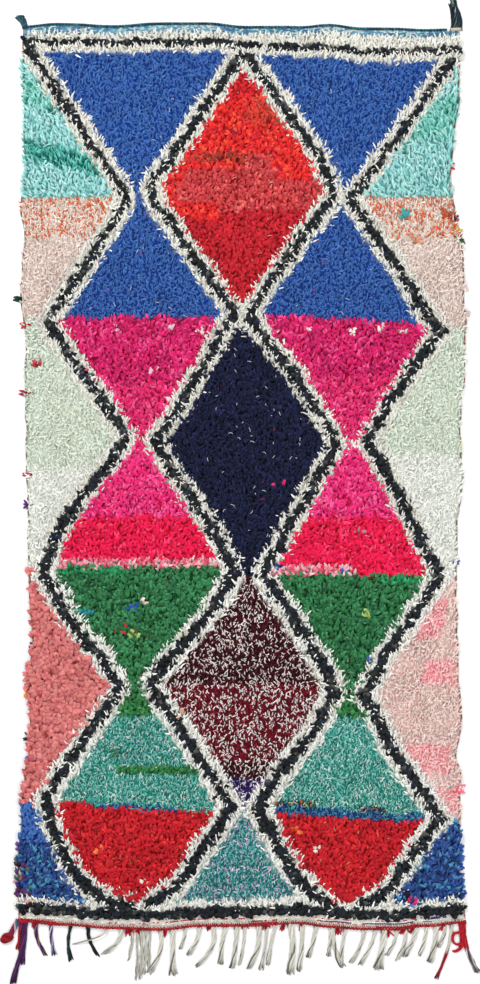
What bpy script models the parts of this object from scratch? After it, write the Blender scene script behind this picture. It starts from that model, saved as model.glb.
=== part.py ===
"""A hand-knotted rag rug, lying flat with its pile up.

Metres, +Z up. The origin is the middle of the woven cloth's underside. +Y runs along
the rug, the way the pile leans, to the end with the blue-green edge cord. The knotted
fringe of warp ends is at -Y.
"""
import math
import random
from collections import namedtuple

import bmesh
import bpy
from mathutils import Vector, noise

# Driving sizes
WEAVE_THICK = 0.003       # the cloth that the knots are tied on
GAP = 0.0003              # clearance between touching pieces
PILE_TALL = 0.021         # mean height of the pile above the cloth
PILE_SHOULDER = 0.011     # height of the pile at its rim
PILE_INSET = 0.003        # from the cloth's side edge to the foot of the pile
SHOULDER_WIDE = 0.010     # how far in from its rim the pile reaches full height
BARE_START = 0.030        # flat-woven band at the fringed end
BARE_END = 0.026          # flat-woven band at the corded end
PILE_COLUMNS = 34         # cells of lumps across and along the pile
PILE_ROWS = 66
TOP_CORD = 0.008          # diameter of the blue-green edge cord
TOP_CORD_SPAN = (-0.573, 0.558)   # it runs between the two top tassels
BOTTOM_CORD = 0.008       # diameter of the red twined edge cord
ROOT_STRIP_DEEP = 0.004   # woven strip that the fringe's strands grow from
ROOT_STRIP_TALL = 0.0026
LOCK_SHARE = 0.7          # share of the rim's cells that carry a lock
LOCK_WIDE = (0.014, 0.022)
LOCK_LONG = (0.006, 0.013)        # how far a lock reaches past where it stays level
LOCK_SHORT = (0.004, 0.008)
FINE_FROM = -0.15         # distance along the rug from where the pile is finer
LOCK_LEAN = 0.009         # locks lean towards the corded end by up to this
TOP_LOCK_REACH = 0.015
RAG_END_WIDE = 0.012
RIM_SEED = 11
PILE_KNOTS = (43, 0.007)  # how close the pile's lumps are, and how tall
PILE_SWELLS = (7, 0.003)
TINY = 0.0005
SPOT_ORDER = Vector((1.0, 7.31, 53.17))
CORNER_ALONG = 1.20       # how far the corners are from the rug's middle
DYED_FROM_CORNER = 0.0262         # the fringe's strip starts past the corner tassels
IVORY_FROM_CORNER = 0.0215
CORNER_STEPS = 8          # points on the cloth's end behind a corner tassel

# Where the cloth's side edges lie: at this distance along the rug, how far the left
# and the right edge are from its middle line.
Side = namedtuple("Side", "along left right")
SIDES = (
    Side(-1.21, 0.600, 0.601),
    Side(-1.06, 0.607, 0.594),
    Side(-0.88, 0.594, 0.597),
    Side(-0.73, 0.576, 0.578),
    Side(-0.56, 0.578, 0.586),
    Side(-0.34, 0.567, 0.583),
    Side(-0.15, 0.573, 0.578),
    Side(0.12, 0.578, 0.589),
    Side(0.31, 0.576, 0.602),
    Side(0.49, 0.590, 0.602),
    Side(0.66, 0.588, 0.588),
    Side(0.83, 0.584, 0.568),
    Side(1.01, 0.586, 0.588),
    Side(1.15, 0.593, 0.584),
    Side(1.20, 0.586, 0.588),
)

# Where the cloth's two ends lie: at this distance across the rug, how far along it
# the fringed end and the corded end are.
End = namedtuple("End", "across fringed corded")
ENDS = (
    End(-0.60, -1.203, 1.199),
    End(-0.49, -1.213, 1.212),
    End(-0.35, -1.223, 1.208),
    End(-0.22, -1.227, 1.216),
    End(-0.10, -1.217, 1.214),
    End(0.02, -1.216, 1.208),
    End(0.16, -1.210, 1.206),
    End(0.28, -1.224, 1.211),
    End(0.42, -1.227, 1.200),
    End(0.50, -1.217, 1.201),
    End(0.60, -1.208, 1.202),
)

# A strand: where its root is across the rug, how far its tip lies from the root
# across and along, how far its middle bows out, and its width.
Strand = namedtuple("Strand", "root sway reach bow width")
IVORY_STRANDS = (
    Strand(-0.361, -0.014, 0.030, 0.004, 0.011),
    Strand(-0.323, -0.042, 0.070, 0.010, 0.014),
    Strand(-0.288, -0.012, 0.088, 0.000, 0.009),
    Strand(-0.277, -0.003, 0.140, 0.001, 0.0088),
    Strand(-0.266, -0.004, 0.137, 0.001, 0.0088),
    Strand(-0.255, -0.004, 0.124, 0.001, 0.0088),
    Strand(-0.244, -0.004, 0.116, 0.001, 0.0088),
    Strand(-0.215, -0.029, 0.122, 0.009, 0.012),
    Strand(-0.181, 0.001, 0.126, -0.001, 0.016),
    Strand(-0.147, -0.014, 0.060, 0.001, 0.010),
    Strand(-0.110, -0.030, 0.080, 0.004, 0.013),
    Strand(-0.075, -0.038, 0.112, 0.014, 0.014),
    Strand(-0.037, -0.015, 0.105, -0.006, 0.013),
    Strand(-0.009, -0.012, 0.116, 0.001, 0.014),
    Strand(0.013, -0.014, 0.108, 0.001, 0.010),
    Strand(0.050, -0.025, 0.118, 0.007, 0.015),
    Strand(0.074, -0.017, 0.124, -0.001, 0.010),
    Strand(0.097, -0.021, 0.112, -0.006, 0.012),
    Strand(0.135, -0.002, 0.138, 0.008, 0.018),
    Strand(0.168, -0.010, 0.130, 0.002, 0.013),
    Strand(0.207, -0.022, 0.088, -0.002, 0.012),
    Strand(0.246, -0.006, 0.080, 0.000, 0.011),
    Strand(0.265, 0.009, 0.110, -0.003, 0.014),
    Strand(0.292, -0.004, 0.100, -0.003, 0.009),
    Strand(0.335, -0.034, 0.092, 0.002, 0.012),
    Strand(0.366, -0.041, 0.098, -0.001, 0.011),
    Strand(0.390, -0.018, 0.110, -0.001, 0.018),
    Strand(0.423, -0.026, 0.072, 0.002, 0.010),
    Strand(0.447, -0.024, 0.088, 0.004, 0.012),
    Strand(0.478, -0.034, 0.082, 0.000, 0.014),
    Strand(0.502, -0.016, 0.082, 0.002, 0.011),
    Strand(0.530, -0.016, 0.102, 0.001, 0.016),
    Strand(0.553, -0.018, 0.064, 0.003, 0.011),
    Strand(0.572, -0.042, 0.152, 0.002, 0.010),
)
DYED_STRANDS = (
    Strand(-0.549, 0.026, 0.090, -0.007, 0.013),
    Strand(-0.510, 0.010, 0.086, -0.002, 0.011),
    Strand(-0.454, -0.002, 0.100, -0.009, 0.011),
    Strand(-0.408, 0.026, 0.080, -0.006, 0.012),
)

# A tassel: the side and end of the cloth whose corner it is at, how far its head lies
# from the corner towards the rug's middle line, the head's width, and its strands,
# whose roots count from the head's middle.
Tassel = namedtuple("Tassel", "side end inward head_wide strands")
TASSELS = {
    "tassel_top_left": Tassel(-1, 1, 0.0055, 0.013, (
        Strand(-0.003, 0.012, 0.036, -0.002, 0.0045),
        Strand(0.003, 0.022, 0.028, 0.001, 0.0045))),
    "tassel_top_right": Tassel(1, 1, 0.0145, 0.030, (
        Strand(-0.0115, 0.001, 0.062, 0.000, 0.006),
        Strand(-0.0040, 0.003, 0.082, 0.000, 0.006),
        Strand(0.0040, 0.002, 0.090, 0.000, 0.006),
        Strand(0.0115, 0.001, 0.070, 0.000, 0.006))),
    "tassel_bottom_left": Tassel(-1, -1, 0.0125, 0.024, (
        Strand(-0.008, -0.008, 0.070, 0.000, 0.0065),
        Strand(0.000, -0.030, 0.166, 0.000, 0.0070),
        Strand(0.008, -0.004, 0.108, 0.000, 0.0065))),
    "tassel_bottom_right": Tassel(1, -1, 0.0100, 0.020, (
        Strand(-0.005, -0.004, 0.092, 0.001, 0.0065),
        Strand(0.005, 0.036, 0.124, -0.004, 0.0085))),
}
TASSEL_HEAD_DEEP = 0.008
TASSEL_HEAD_TALL = 0.0026

# The stuffed knot of red rag that hangs at the fringed end's left corner
BOBBLE_AT = Vector((-0.629, -1.252))
BOBBLE_HALF = Vector((0.018, 0.0125, 0.0075))
BOBBLE_SEAT = 0.006       # from its middle down to the flat that it lies on
BOBBLE_TURN = math.radians(28)
BOBBLE_STEM = 0.004
BOBBLE_STEM_OFF = 0.0020  # from the corner to the middle of the stem's end

# Rag ends that stick out of the sides: side, distance along the rug, how far out
RagEnd = namedtuple("RagEnd", "side along reach")
RAG_ENDS = (
    RagEnd(-1, 0.473, 0.026),
    RagEnd(-1, 0.219, 0.020),
    RagEnd(-1, -0.601, 0.018),
    RagEnd(-1, -0.713, 0.020),
    RagEnd(1, 0.430, 0.014),
    RagEnd(1, -0.850, 0.014),
)

# How thick a strand is along its length, as a share of its width: it is drawn in
# below the root and swells to a brush near the tip.
Girth = namedtuple("Girth", "share thick")
STRAND_GIRTH = (Girth(0.14, 0.9), Girth(0.45, 0.75), Girth(0.82, 1.0), Girth(1.0, 0.45))
LOCK_GIRTH = (Girth(0.0, 0.8), Girth(1.0, 0.3))
STRAND_TALL = 0.55        # a strand's height over its width
STEM_GIRTH = (Girth(0.3, 1.0), Girth(0.65, 1.0), Girth(1.0, 1.0))
LOCK_LEVEL = PILE_INSET + 0.002   # a side lock stays level for this far, then drops
LOCK_DROP = 0.004
FACING = 0.7              # a wall faces a way if its normal is this near to it

CLOTH_GREY = (0.42, 0.38, 0.32)
PILE_BLUE = (0.05, 0.10, 0.42)
EDGE_TEAL = (0.03, 0.16, 0.20)
RAG_RED = (0.50, 0.02, 0.03)
WARP_IVORY = (0.62, 0.60, 0.52)
DYED_PURPLE = (0.12, 0.02, 0.14)
TUFT_NAVY = (0.02, 0.05, 0.08)
TASSEL_COLOURS = (EDGE_TEAL, TUFT_NAVY, DYED_PURPLE, RAG_RED)


def eased(rows, key, column, at):
    """Reads one column of a table between its rows, with no kinks at them."""
    if at <= getattr(rows[0], key):
        return getattr(rows[0], column)
    for low, high in zip(rows, rows[1:]):
        start, stop = getattr(low, key), getattr(high, key)
        if at <= stop:
            share = (1 - math.cos(math.pi * (at - start) / (stop - start))) / 2
            return getattr(low, column) * (1 - share) + getattr(high, column) * share
    return getattr(rows[-1], column)


def side_edge(side, along):
    """X of the cloth's left (-1) or right (1) edge."""
    return side * eased(SIDES, "along", "left" if side < 0 else "right", along)


def end_edge(end, across):
    """Y of the cloth's fringed (-1) or corded (1) end."""
    return eased(ENDS, "across", "fringed" if end < 0 else "corded", across)


def corner(side, end):
    """The cloth's corner point."""
    across = side_edge(side, end * CORNER_ALONG)
    return Vector((across, end_edge(end, across)))


def spread(low, high, count):
    """Evenly spaced values from low to high."""
    return [low + (high - low) * step / count for step in range(count + 1)]


def finished(name, colour, roughness):
    """A cloth or yarn material."""
    material = bpy.data.materials.new(name)
    material.use_nodes = True
    shader = material.node_tree.nodes["Principled BSDF"]
    shader.inputs["Base Color"].default_value = (*colour, 1)
    shader.inputs["Roughness"].default_value = roughness
    shader.inputs["Metallic"].default_value = 0
    material.diffuse_color = (*colour, 1)
    return material


def place_object(name, data, colour):
    """Links one sub-part to the rug's collection, with a material of its own."""
    data.materials.append(finished(name, colour, 0.95))
    made = bpy.data.objects.new(name, data)
    RUG.objects.link(made)
    made.parent = BASE
    return made


def spot_order(item):
    """Orders corners and faces by place, so that each build gives the same mesh."""
    spot = item.co if isinstance(item, bmesh.types.BMVert) else item.calc_center_median()
    return spot.dot(SPOT_ORDER)


def mesh_object(name, bm, colour):
    """Makes an object of a finished bmesh."""
    bmesh.ops.recalc_face_normals(bm, faces=bm.faces[:])
    for corners in (bm.verts, bm.faces):
        corners.sort(key=spot_order)
    data = bpy.data.meshes.new(name)
    bm.to_mesh(data)
    bm.free()
    return place_object(name, data, colour)


def poly_curve(name, points, cyclic, colour):
    """A curve object through points, straight between them."""
    data = bpy.data.curves.new(name, "CURVE")
    spline = data.splines.new("POLY")
    spline.points.add(len(points) - 1)
    for spot, point in zip(spline.points, points):
        spot.co = (*point, 1)
    spline.use_cyclic_u = cyclic
    return place_object(name, data, colour)


def slab(columns, rows, place):
    """A closed slab on a grid of cells, and the cells of its outer wall.

    place(column, row, top) gives the point of each corner of the grid.
    """
    bm = bmesh.new()
    bmesh.ops.create_grid(bm, x_segments=columns, y_segments=rows, size=1)
    drawn_up = bmesh.ops.extrude_face_region(bm, geom=bm.faces[:])["geom"]
    top = {item for item in drawn_up if isinstance(item, bmesh.types.BMVert)}
    walls = [face for face in bm.faces if 0 < len(top.intersection(face.verts)) < 4]
    under = [face for face in bm.faces if not top.intersection(face.verts)]
    for vert in bm.verts:
        column = round((vert.co.x + 1) / 2 * columns)
        row = round((vert.co.y + 1) / 2 * rows)
        vert.co = place(column, row, vert in top)
    bmesh.ops.recalc_face_normals(bm, faces=bm.faces[:])
    if len(under) > 1:
        bmesh.ops.dissolve_faces(bm, faces=under)
    return bm, sorted(walls, key=lambda wall: tuple(wall.calc_center_median()))


def across_of(heading):
    """The level direction square to a heading, to its left as seen from its tip."""
    return Vector((-heading.y, heading.x, 0))


def grow(bm, wall, strand, girth, level, underside):
    """Draws a four-sided strand out of one wall cell, so it stays fused to it.

    The strand runs straight out for the distance level, and the rows of girth share
    what is left. underside(distance) is the height that its lower side rests at.
    """
    outward = Vector((wall.normal.x, wall.normal.y, 0)).normalized()
    root = wall.calc_center_median()
    sides = [
        (math.copysign(1, (vert.co - root).dot(across_of(outward))), vert.co.z > root.z)
        for vert in wall.verts
    ]

    def middle(distance):
        share = max(distance - level, 0) / (strand.reach - level)
        aside = strand.sway * share ** 1.6 + strand.bow * math.sin(math.pi * share)
        return root + outward * distance + across_of(outward) * aside

    for row in girth:
        distance = level + row.share * (strand.reach - level)
        heading = (middle(distance + TINY) - middle(distance - TINY)).normalized()
        low = underside(distance)
        wide = strand.width * row.thick
        wall = bmesh.ops.extrude_discrete_faces(bm, faces=[wall])["faces"][0]
        for vert, (side, upper) in zip(wall.verts, sides):
            spot = middle(distance) + across_of(heading) * side * wide / 2
            spot.z = low + (wide * STRAND_TALL if upper else 0)
            vert.co = spot


def on_floor(distance):
    """Fringe and tassels lie on the floor for their whole length."""
    return 0.0


def over_the_edge(distance):
    """A lock at a side leaves the pile over the cloth and drops past its edge."""
    share = min(max((distance - LOCK_LEVEL) / LOCK_DROP, 0), 1)
    return (WEAVE_THICK + GAP) * (1 - share)


def on_cloth(distance):
    """A lock at the corded end lies on the flat-woven band."""
    return WEAVE_THICK + GAP


def grow_all(bm, walls, strands, outward, start):
    """Grows every strand of a backing out of the wall cell at its root."""
    across = across_of(outward)
    outer = [wall for wall in walls if wall.normal.dot(outward) > FACING]

    def off_root(wall, strand):
        return abs((wall.calc_center_median() - start).dot(across) - strand.root)

    chosen = [min(outer, key=lambda wall: off_root(wall, strand)) for strand in strands]
    for wall, strand in zip(chosen, strands):
        grow(bm, wall, strand, STRAND_GIRTH, 0, on_floor)


def fringe_stations(strands, first, last):
    """The strip's corners across the rug: both sides of every root, and its ends."""
    roots = [strand.root + part * strand.width / 2 for strand in strands for part in (-1, 1)]
    return [first, *roots, last]


def lay_cloth():
    """The ground weave, one flat sheet with the flat-woven band at each end."""
    steps = spread(SIDES[0].along, SIDES[-1].along, 60)[1:-1]
    outline = [(x, end_edge(-1, x)) for x in STRIP_STATIONS]
    outline += [(side_edge(1, y), y) for y in steps]
    outline += [(x, end_edge(1, x)) for x in reversed(TOP_STATIONS)]
    outline += [(side_edge(-1, y), y) for y in reversed(steps)]
    cloth = poly_curve("ground_weave", [(x, y, 0) for x, y in outline], True, CLOTH_GREY)
    cloth.data.dimensions = "2D"
    cloth.data.fill_mode = "BOTH"
    cloth.data.extrude = WEAVE_THICK / 2
    cloth.location.z = WEAVE_THICK / 2


def rim_spread(count, length):
    """Cell edges from 0 to 1, with a narrow cell at each end for the shoulder."""
    rim = SHOULDER_WIDE / length
    return [0, *spread(rim, 1 - rim, count - 2), 1]


def lay_pile():
    """The knotted rag pile: one lumpy slab with locks at its rim."""
    shares_across = rim_spread(PILE_COLUMNS, 2 * SIDES[0].left)
    shares_along = rim_spread(PILE_ROWS, 2 * SIDES[-1].along)

    def place(column, row, top):
        share_x, share_y = shares_across[column], shares_along[row]
        rough = SIDES[0].left * (2 * share_x - 1)
        first, last = end_edge(-1, rough) + BARE_START, end_edge(1, rough) - BARE_END
        y = first + share_y * (last - first)
        left, right = side_edge(-1, y) + PILE_INSET, side_edge(1, y) - PILE_INSET
        x = left + share_x * (right - left)
        z = WEAVE_THICK + GAP
        if top:
            on_rim = column in (0, PILE_COLUMNS) or row in (0, PILE_ROWS)
            z += PILE_SHOULDER if on_rim else PILE_TALL
            for close, tall in () if on_rim else (PILE_KNOTS, PILE_SWELLS):
                z += tall * noise.noise(Vector((x, y, tall)) * close)
        return Vector((x, y, z))

    bm, walls = slab(PILE_COLUMNS, PILE_ROWS, place)
    chance = random.Random(RIM_SEED)
    ends = {nearest(walls, end): end for end in RAG_ENDS}
    for index, wall in enumerate(walls):
        out, along = wall.normal.copy(), wall.calc_center_median().y
        width = chance.uniform(*LOCK_WIDE)
        lean = chance.uniform(0, LOCK_LEAN)
        long = LOCK_LEVEL + chance.uniform(*(LOCK_LONG if along < FINE_FROM else LOCK_SHORT))
        bare = chance.random() > LOCK_SHARE
        if index in ends:
            lock = Strand(0, math.copysign(lean, out.x), ends[index].reach, 0, RAG_END_WIDE)
            grow(bm, wall, lock, LOCK_GIRTH, LOCK_LEVEL, over_the_edge)
        elif abs(out.x) > abs(out.y) and not bare:
            lock = Strand(0, math.copysign(lean, out.x), long, 0, width)
            grow(bm, wall, lock, LOCK_GIRTH, LOCK_LEVEL, over_the_edge)
        elif out.y > 0 and not bare:
            lock = Strand(0, 0, TOP_LOCK_REACH, 0, width)
            grow(bm, wall, lock, LOCK_GIRTH, lean, on_cloth)
    mesh_object("rag_pile", bm, PILE_BLUE)


def nearest(walls, end):
    """Which wall cell on a side of the pile a rag end comes out of."""
    facing = [index for index, wall in enumerate(walls) if wall.normal.x * end.side > FACING]
    return min(facing, key=lambda index: abs(walls[index].calc_center_median().y - end.along))


def lay_cord(name, stations, end, shift, low, diameter, colour):
    """A twined cord along one end of the cloth, shifted from its edge."""
    level = low + diameter / 2
    points = [(x, end_edge(end, x) + shift, level) for x in stations]
    cord = poly_curve(name, points, False, colour)
    cord.data.dimensions = "3D"
    cord.data.bevel_depth = diameter / 2
    cord.data.bevel_resolution = 1
    cord.data.use_fill_caps = True


def lay_fringe(name, strands, first, last, colour):
    """Warp ends, twisted together in strands that grow out of a narrow woven strip."""
    stations = fringe_stations(strands, first, last)

    def place(column, row, top):
        x = stations[column]
        y = end_edge(-1, x) - GAP - (0 if row else ROOT_STRIP_DEEP)
        return Vector((x, y, ROOT_STRIP_TALL if top else 0))

    bm, walls = slab(len(stations) - 1, 1, place)
    grow_all(bm, walls, strands, Vector((0, -1, 0)), Vector((0, 0, 0)))
    mesh_object(name, bm, colour)


def lay_tassel(name, tassel, colour):
    """A corner tassel: a bound head with its strands, lying on the floor."""
    outward = Vector((0, tassel.end, 0))
    across = across_of(outward)
    middle = corner(tassel.side, tassel.end).x - tassel.side * tassel.inward
    half = tassel.head_wide / 2
    stations = fringe_stations(tassel.strands, -half, half)

    def place(column, row, top):
        x = middle + across.x * stations[column]
        out = GAP + (TASSEL_HEAD_DEEP if row else 0)
        return Vector((x, end_edge(tassel.end, x) + tassel.end * out,
                       TASSEL_HEAD_TALL if top else 0))

    bm, walls = slab(len(stations) - 1, 1, place)
    grow_all(bm, walls, tassel.strands, outward, Vector((middle, 0, 0)))
    mesh_object(name, bm, colour)


def lay_bobble():
    """A knot of red rag with a stem that reaches back to the cloth's corner."""
    bm = bmesh.new()
    bmesh.ops.create_uvsphere(bm, u_segments=16, v_segments=10, radius=1)
    spin = Vector((math.cos(BOBBLE_TURN), math.sin(BOBBLE_TURN)))
    for vert in bm.verts:
        x, y, z = (share * half for share, half in zip(vert.co, BOBBLE_HALF))
        level = max(z, -BOBBLE_SEAT) + BOBBLE_SEAT
        vert.co = (
            BOBBLE_AT.x + x * spin.x - y * spin.y,
            BOBBLE_AT.y + x * spin.y + y * spin.x,
            level,
        )
    bm.normal_update()
    target = corner(-1, -1).to_3d() - Vector((BOBBLE_STEM_OFF, 0, 0))
    way = target - BOBBLE_AT.to_3d()
    cell = max((face for face in bm.faces if len(face.verts) == 4),
               key=lambda face: face.normal.dot(way))
    outward = Vector((cell.normal.x, cell.normal.y, 0)).normalized()
    run = target - cell.calc_center_median()
    stem = Strand(0, run.dot(across_of(outward)), run.dot(outward), 0, BOBBLE_STEM)
    grow(bm, cell, stem, STEM_GIRTH, 0, on_floor)
    mesh_object("corner_bobble", bm, RAG_RED)


for stale in list(bpy.data.objects):
    bpy.data.objects.remove(stale)
RUG = bpy.data.collections.new("rag rug")
bpy.context.scene.collection.children.link(RUG)
BASE = bpy.data.objects.new("rug_base", None)
RUG.objects.link(BASE)

DYED_FIRST = corner(-1, -1).x + DYED_FROM_CORNER
IVORY_FIRST = (DYED_STRANDS[-1].root + IVORY_STRANDS[0].root) / 2
IVORY_LAST = corner(1, -1).x - IVORY_FROM_CORNER
STRIP_STATIONS = [
    *spread(corner(-1, -1).x, DYED_FIRST, CORNER_STEPS)[:-1],
    *fringe_stations(DYED_STRANDS, DYED_FIRST, IVORY_FIRST)[:-1],
    *fringe_stations(IVORY_STRANDS, IVORY_FIRST, IVORY_LAST),
    *spread(IVORY_LAST, corner(1, -1).x, CORNER_STEPS)[1:],
]
TOP_STATIONS = spread(corner(-1, 1).x, corner(1, 1).x, 90)

lay_cloth()
lay_pile()
lay_cord("top_edge_cord", spread(TOP_CORD_SPAN[0], TOP_CORD_SPAN[1], 36), 1,
         GAP + TOP_CORD / 2, 0, TOP_CORD, EDGE_TEAL)
lay_cord("bottom_edge_cord", spread(corner(-1, -1).x, corner(1, -1).x, 36), -1, 0,
         WEAVE_THICK + GAP, BOTTOM_CORD, RAG_RED)
lay_fringe("dyed_fringe", DYED_STRANDS, DYED_FIRST, IVORY_FIRST - GAP, DYED_PURPLE)
lay_fringe("warp_fringe", IVORY_STRANDS, IVORY_FIRST, IVORY_LAST, WARP_IVORY)
for (label, corner_tassel), shade in zip(TASSELS.items(), TASSEL_COLOURS):
    lay_tassel(label, corner_tassel, shade)
lay_bobble()
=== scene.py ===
import math
from collections import namedtuple

import bpy
import numpy as np
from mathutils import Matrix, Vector


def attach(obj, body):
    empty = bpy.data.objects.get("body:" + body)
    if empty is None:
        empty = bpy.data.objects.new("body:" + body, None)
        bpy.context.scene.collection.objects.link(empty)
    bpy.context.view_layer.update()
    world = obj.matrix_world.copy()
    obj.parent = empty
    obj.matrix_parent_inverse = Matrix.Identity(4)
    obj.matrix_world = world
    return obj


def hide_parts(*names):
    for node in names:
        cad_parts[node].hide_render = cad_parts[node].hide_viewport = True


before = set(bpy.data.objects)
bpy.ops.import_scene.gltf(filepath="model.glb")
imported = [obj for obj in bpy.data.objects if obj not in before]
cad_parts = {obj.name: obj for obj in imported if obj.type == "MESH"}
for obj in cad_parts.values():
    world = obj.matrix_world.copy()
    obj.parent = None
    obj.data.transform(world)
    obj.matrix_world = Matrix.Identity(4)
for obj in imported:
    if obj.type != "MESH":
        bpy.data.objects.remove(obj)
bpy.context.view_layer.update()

# ---- The camera
# It looks straight down on the rug from high up, with the corded end at the top of
# the picture, through a long lens, so that the rug's sides stay parallel.
LOOK_AT = (0.0, -0.0486)
CAMERA_HIGH = 10.0
PICTURE_TALL = 2.657      # metres of floor from the picture's top to its foot
SENSOR = 36.0

camera_data = bpy.data.cameras.new("camera")
camera_data.sensor_width = SENSOR
camera_data.lens = SENSOR * CAMERA_HIGH / PICTURE_TALL
camera_data.clip_end = 60
camera = bpy.data.objects.new("camera", camera_data)
camera.location = (*LOOK_AT, CAMERA_HIGH)
bpy.context.scene.collection.objects.link(camera)
bpy.context.scene.camera = camera


# ---- The ground cloth
# One piece of plain weave from the loom, wool weft beaten down over cotton warps. It
# shows at each end and on the back, where the knots show as flecks.
CLOTH_THICK = 0.003
CLOTH_CELLS = (70, 140)
BARE_FRINGED = 0.030      # how deep the cloth is bare of knots at its fringed end
BARE_CORDED = 0.026       # and at its corded one
CORNER_AT = 1.21          # how far the corners are from the middle, along the rug
WARP_PITCH = 0.0062
WEFT_PITCH = 0.0034
KNOT_ROWS = 0.021         # from one row of knots to the next, where they show on the back

# how far the cloth's sides are from its middle line, at distances along the rug
SIDES = np.array((
    # along, left, right
    (-1.21, 0.598, 0.609),
    (-1.06, 0.600, 0.592),
    (-0.88, 0.589, 0.597),
    (-0.81, 0.582, 0.600),
    (-0.76, 0.571, 0.583),
    (-0.66, 0.566, 0.599),
    (-0.56, 0.575, 0.591),
    (-0.44, 0.562, 0.588),
    (-0.30, 0.572, 0.586),
    (-0.15, 0.573, 0.589),
    (0.00, 0.576, 0.602),
    (0.12, 0.579, 0.597),
    (0.31, 0.580, 0.607),
    (0.39, 0.583, 0.612),
    (0.49, 0.591, 0.605),
    (0.64, 0.585, 0.600),
    (0.71, 0.593, 0.578),
    (0.83, 0.582, 0.571),
    (1.01, 0.584, 0.591),
    (1.15, 0.588, 0.596),
    (1.20, 0.586, 0.592),
))
# where the cloth ends along the rug, at distances across it
ENDS = np.array((
    # across, fringed, corded
    (-0.60, -1.203, 1.201),
    (-0.49, -1.213, 1.210),
    (-0.35, -1.223, 1.204),
    (-0.22, -1.227, 1.211),
    (-0.10, -1.217, 1.211),
    (0.02, -1.216, 1.202),
    (0.16, -1.210, 1.202),
    (0.24, -1.220, 1.207),
    (0.33, -1.226, 1.197),
    (0.42, -1.227, 1.197),
    (0.50, -1.217, 1.194),
    (0.60, -1.208, 1.196),
))


def eased(table, column, at):
    """Reads a column of a table between its rows, with no kinks at them."""
    keys = table[:, 0]
    row = np.clip(np.searchsorted(keys, at) - 1, 0, len(keys) - 2)
    share = np.clip((at - keys[row]) / (keys[row + 1] - keys[row]), 0, 1)
    share = (1 - np.cos(np.pi * share)) / 2
    return table[row, column] * (1 - share) + table[row + 1, column] * share


def side_edge(side, along):
    """X of the cloth's left (-1) or right (1) edge, drawn in here and there by the weft."""
    along = np.asarray(along, float)
    pull = np.clip((1.15 - abs(along)) / 0.1, 0, 1) * 0.0032 * drift(0.4 * side + 0 * along, along, 0.042, 11)
    return side * (eased(SIDES, 1 if side < 0 else 2, along) + pull)


def end_edge(end, across):
    """Y of the cloth's fringed (-1) or corded (1) end."""
    return eased(ENDS, 1 if end < 0 else 2, across)


def drift(x, y, every, seed):
    """A smooth random drift from -1 to 1 over the rug, one swell each so many metres."""
    u, v = (x + 0.9) / every, (y + 1.6) / every
    spots = np.random.default_rng(seed).uniform(-1, 1, (int(1.8 / every) + 3, int(3.2 / every) + 3))
    i, j = u.astype(int), v.astype(int)
    a, b = u - i, v - j
    a, b = a * a * (3 - 2 * a), b * b * (3 - 2 * b)
    low = spots[i, j] * (1 - a) + spots[i + 1, j] * a
    high = spots[i, j + 1] * (1 - a) + spots[i + 1, j + 1] * a
    return low * (1 - b) + high * b


def points_at(x, y, z):
    """Points from their coordinates, in arrays of one shape or single numbers."""
    return np.stack(np.broadcast_arrays(x, y, z), -1)


def make_mesh(name, points, faces, colours, uv=None, extras=()):
    """An object from arrays: points, faces of three or four corners, and attributes."""
    data = bpy.data.meshes.new(name)
    points, faces = np.asarray(points, np.float32), np.asarray(faces, np.int32)
    data.vertices.add(len(points))
    data.vertices.foreach_set("co", points.ravel())
    data.loops.add(faces.size)
    data.loops.foreach_set("vertex_index", faces.ravel())
    data.polygons.add(len(faces))
    data.polygons.foreach_set("loop_start", np.arange(len(faces), dtype=np.int32) * faces.shape[1])
    data.update(calc_edges=True)
    data.polygons.foreach_set("use_smooth", np.ones(len(faces), bool))
    full = np.ones((len(points), 4), np.float32)
    full[:, :3] = colours
    data.color_attributes.new("rag_colour", "FLOAT_COLOR", "POINT").data.foreach_set("color", full.ravel())
    for label, values in extras:
        data.attributes.new(label, "FLOAT", "POINT").data.foreach_set(
            "value", np.asarray(values, np.float32).ravel())
    if uv is not None:
        data.uv_layers.new(name="OFBake").data.foreach_set(
            "uv", np.asarray(uv, np.float32)[faces.ravel()].ravel())
    made = bpy.data.objects.new(name, data)
    bpy.context.scene.collection.objects.link(made)
    return made


class Wire:
    """A node's output that can be added, multiplied and so on as a number."""

    def __init__(self, board, socket):
        self.board, self.socket = board, socket

    def maths(self, how, *others):
        return self.board.node("ShaderNodeMath", {"operation": how}, self, *others)

    def __add__(self, other):
        return self.maths("ADD", other)

    __radd__ = __add__

    def __mul__(self, other):
        return self.maths("MULTIPLY", other)

    __rmul__ = __mul__

    def __sub__(self, other):
        return self.maths("SUBTRACT", other)

    def __rsub__(self, other):
        return self.maths("MULTIPLY", -1.0) + other

    def wave(self, every):
        """A swell from -1 to 1, once each so many metres."""
        return (self * (2 * math.pi / every)).maths("SINE")

    def above(self, limit):
        return self.maths("GREATER_THAN", limit)

    def fit(self, low, high, to_low=0.0, to_high=1.0):
        return self.board.node("ShaderNodeMapRange", {"clamp": True}, self, low, high, to_low, to_high)


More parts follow.
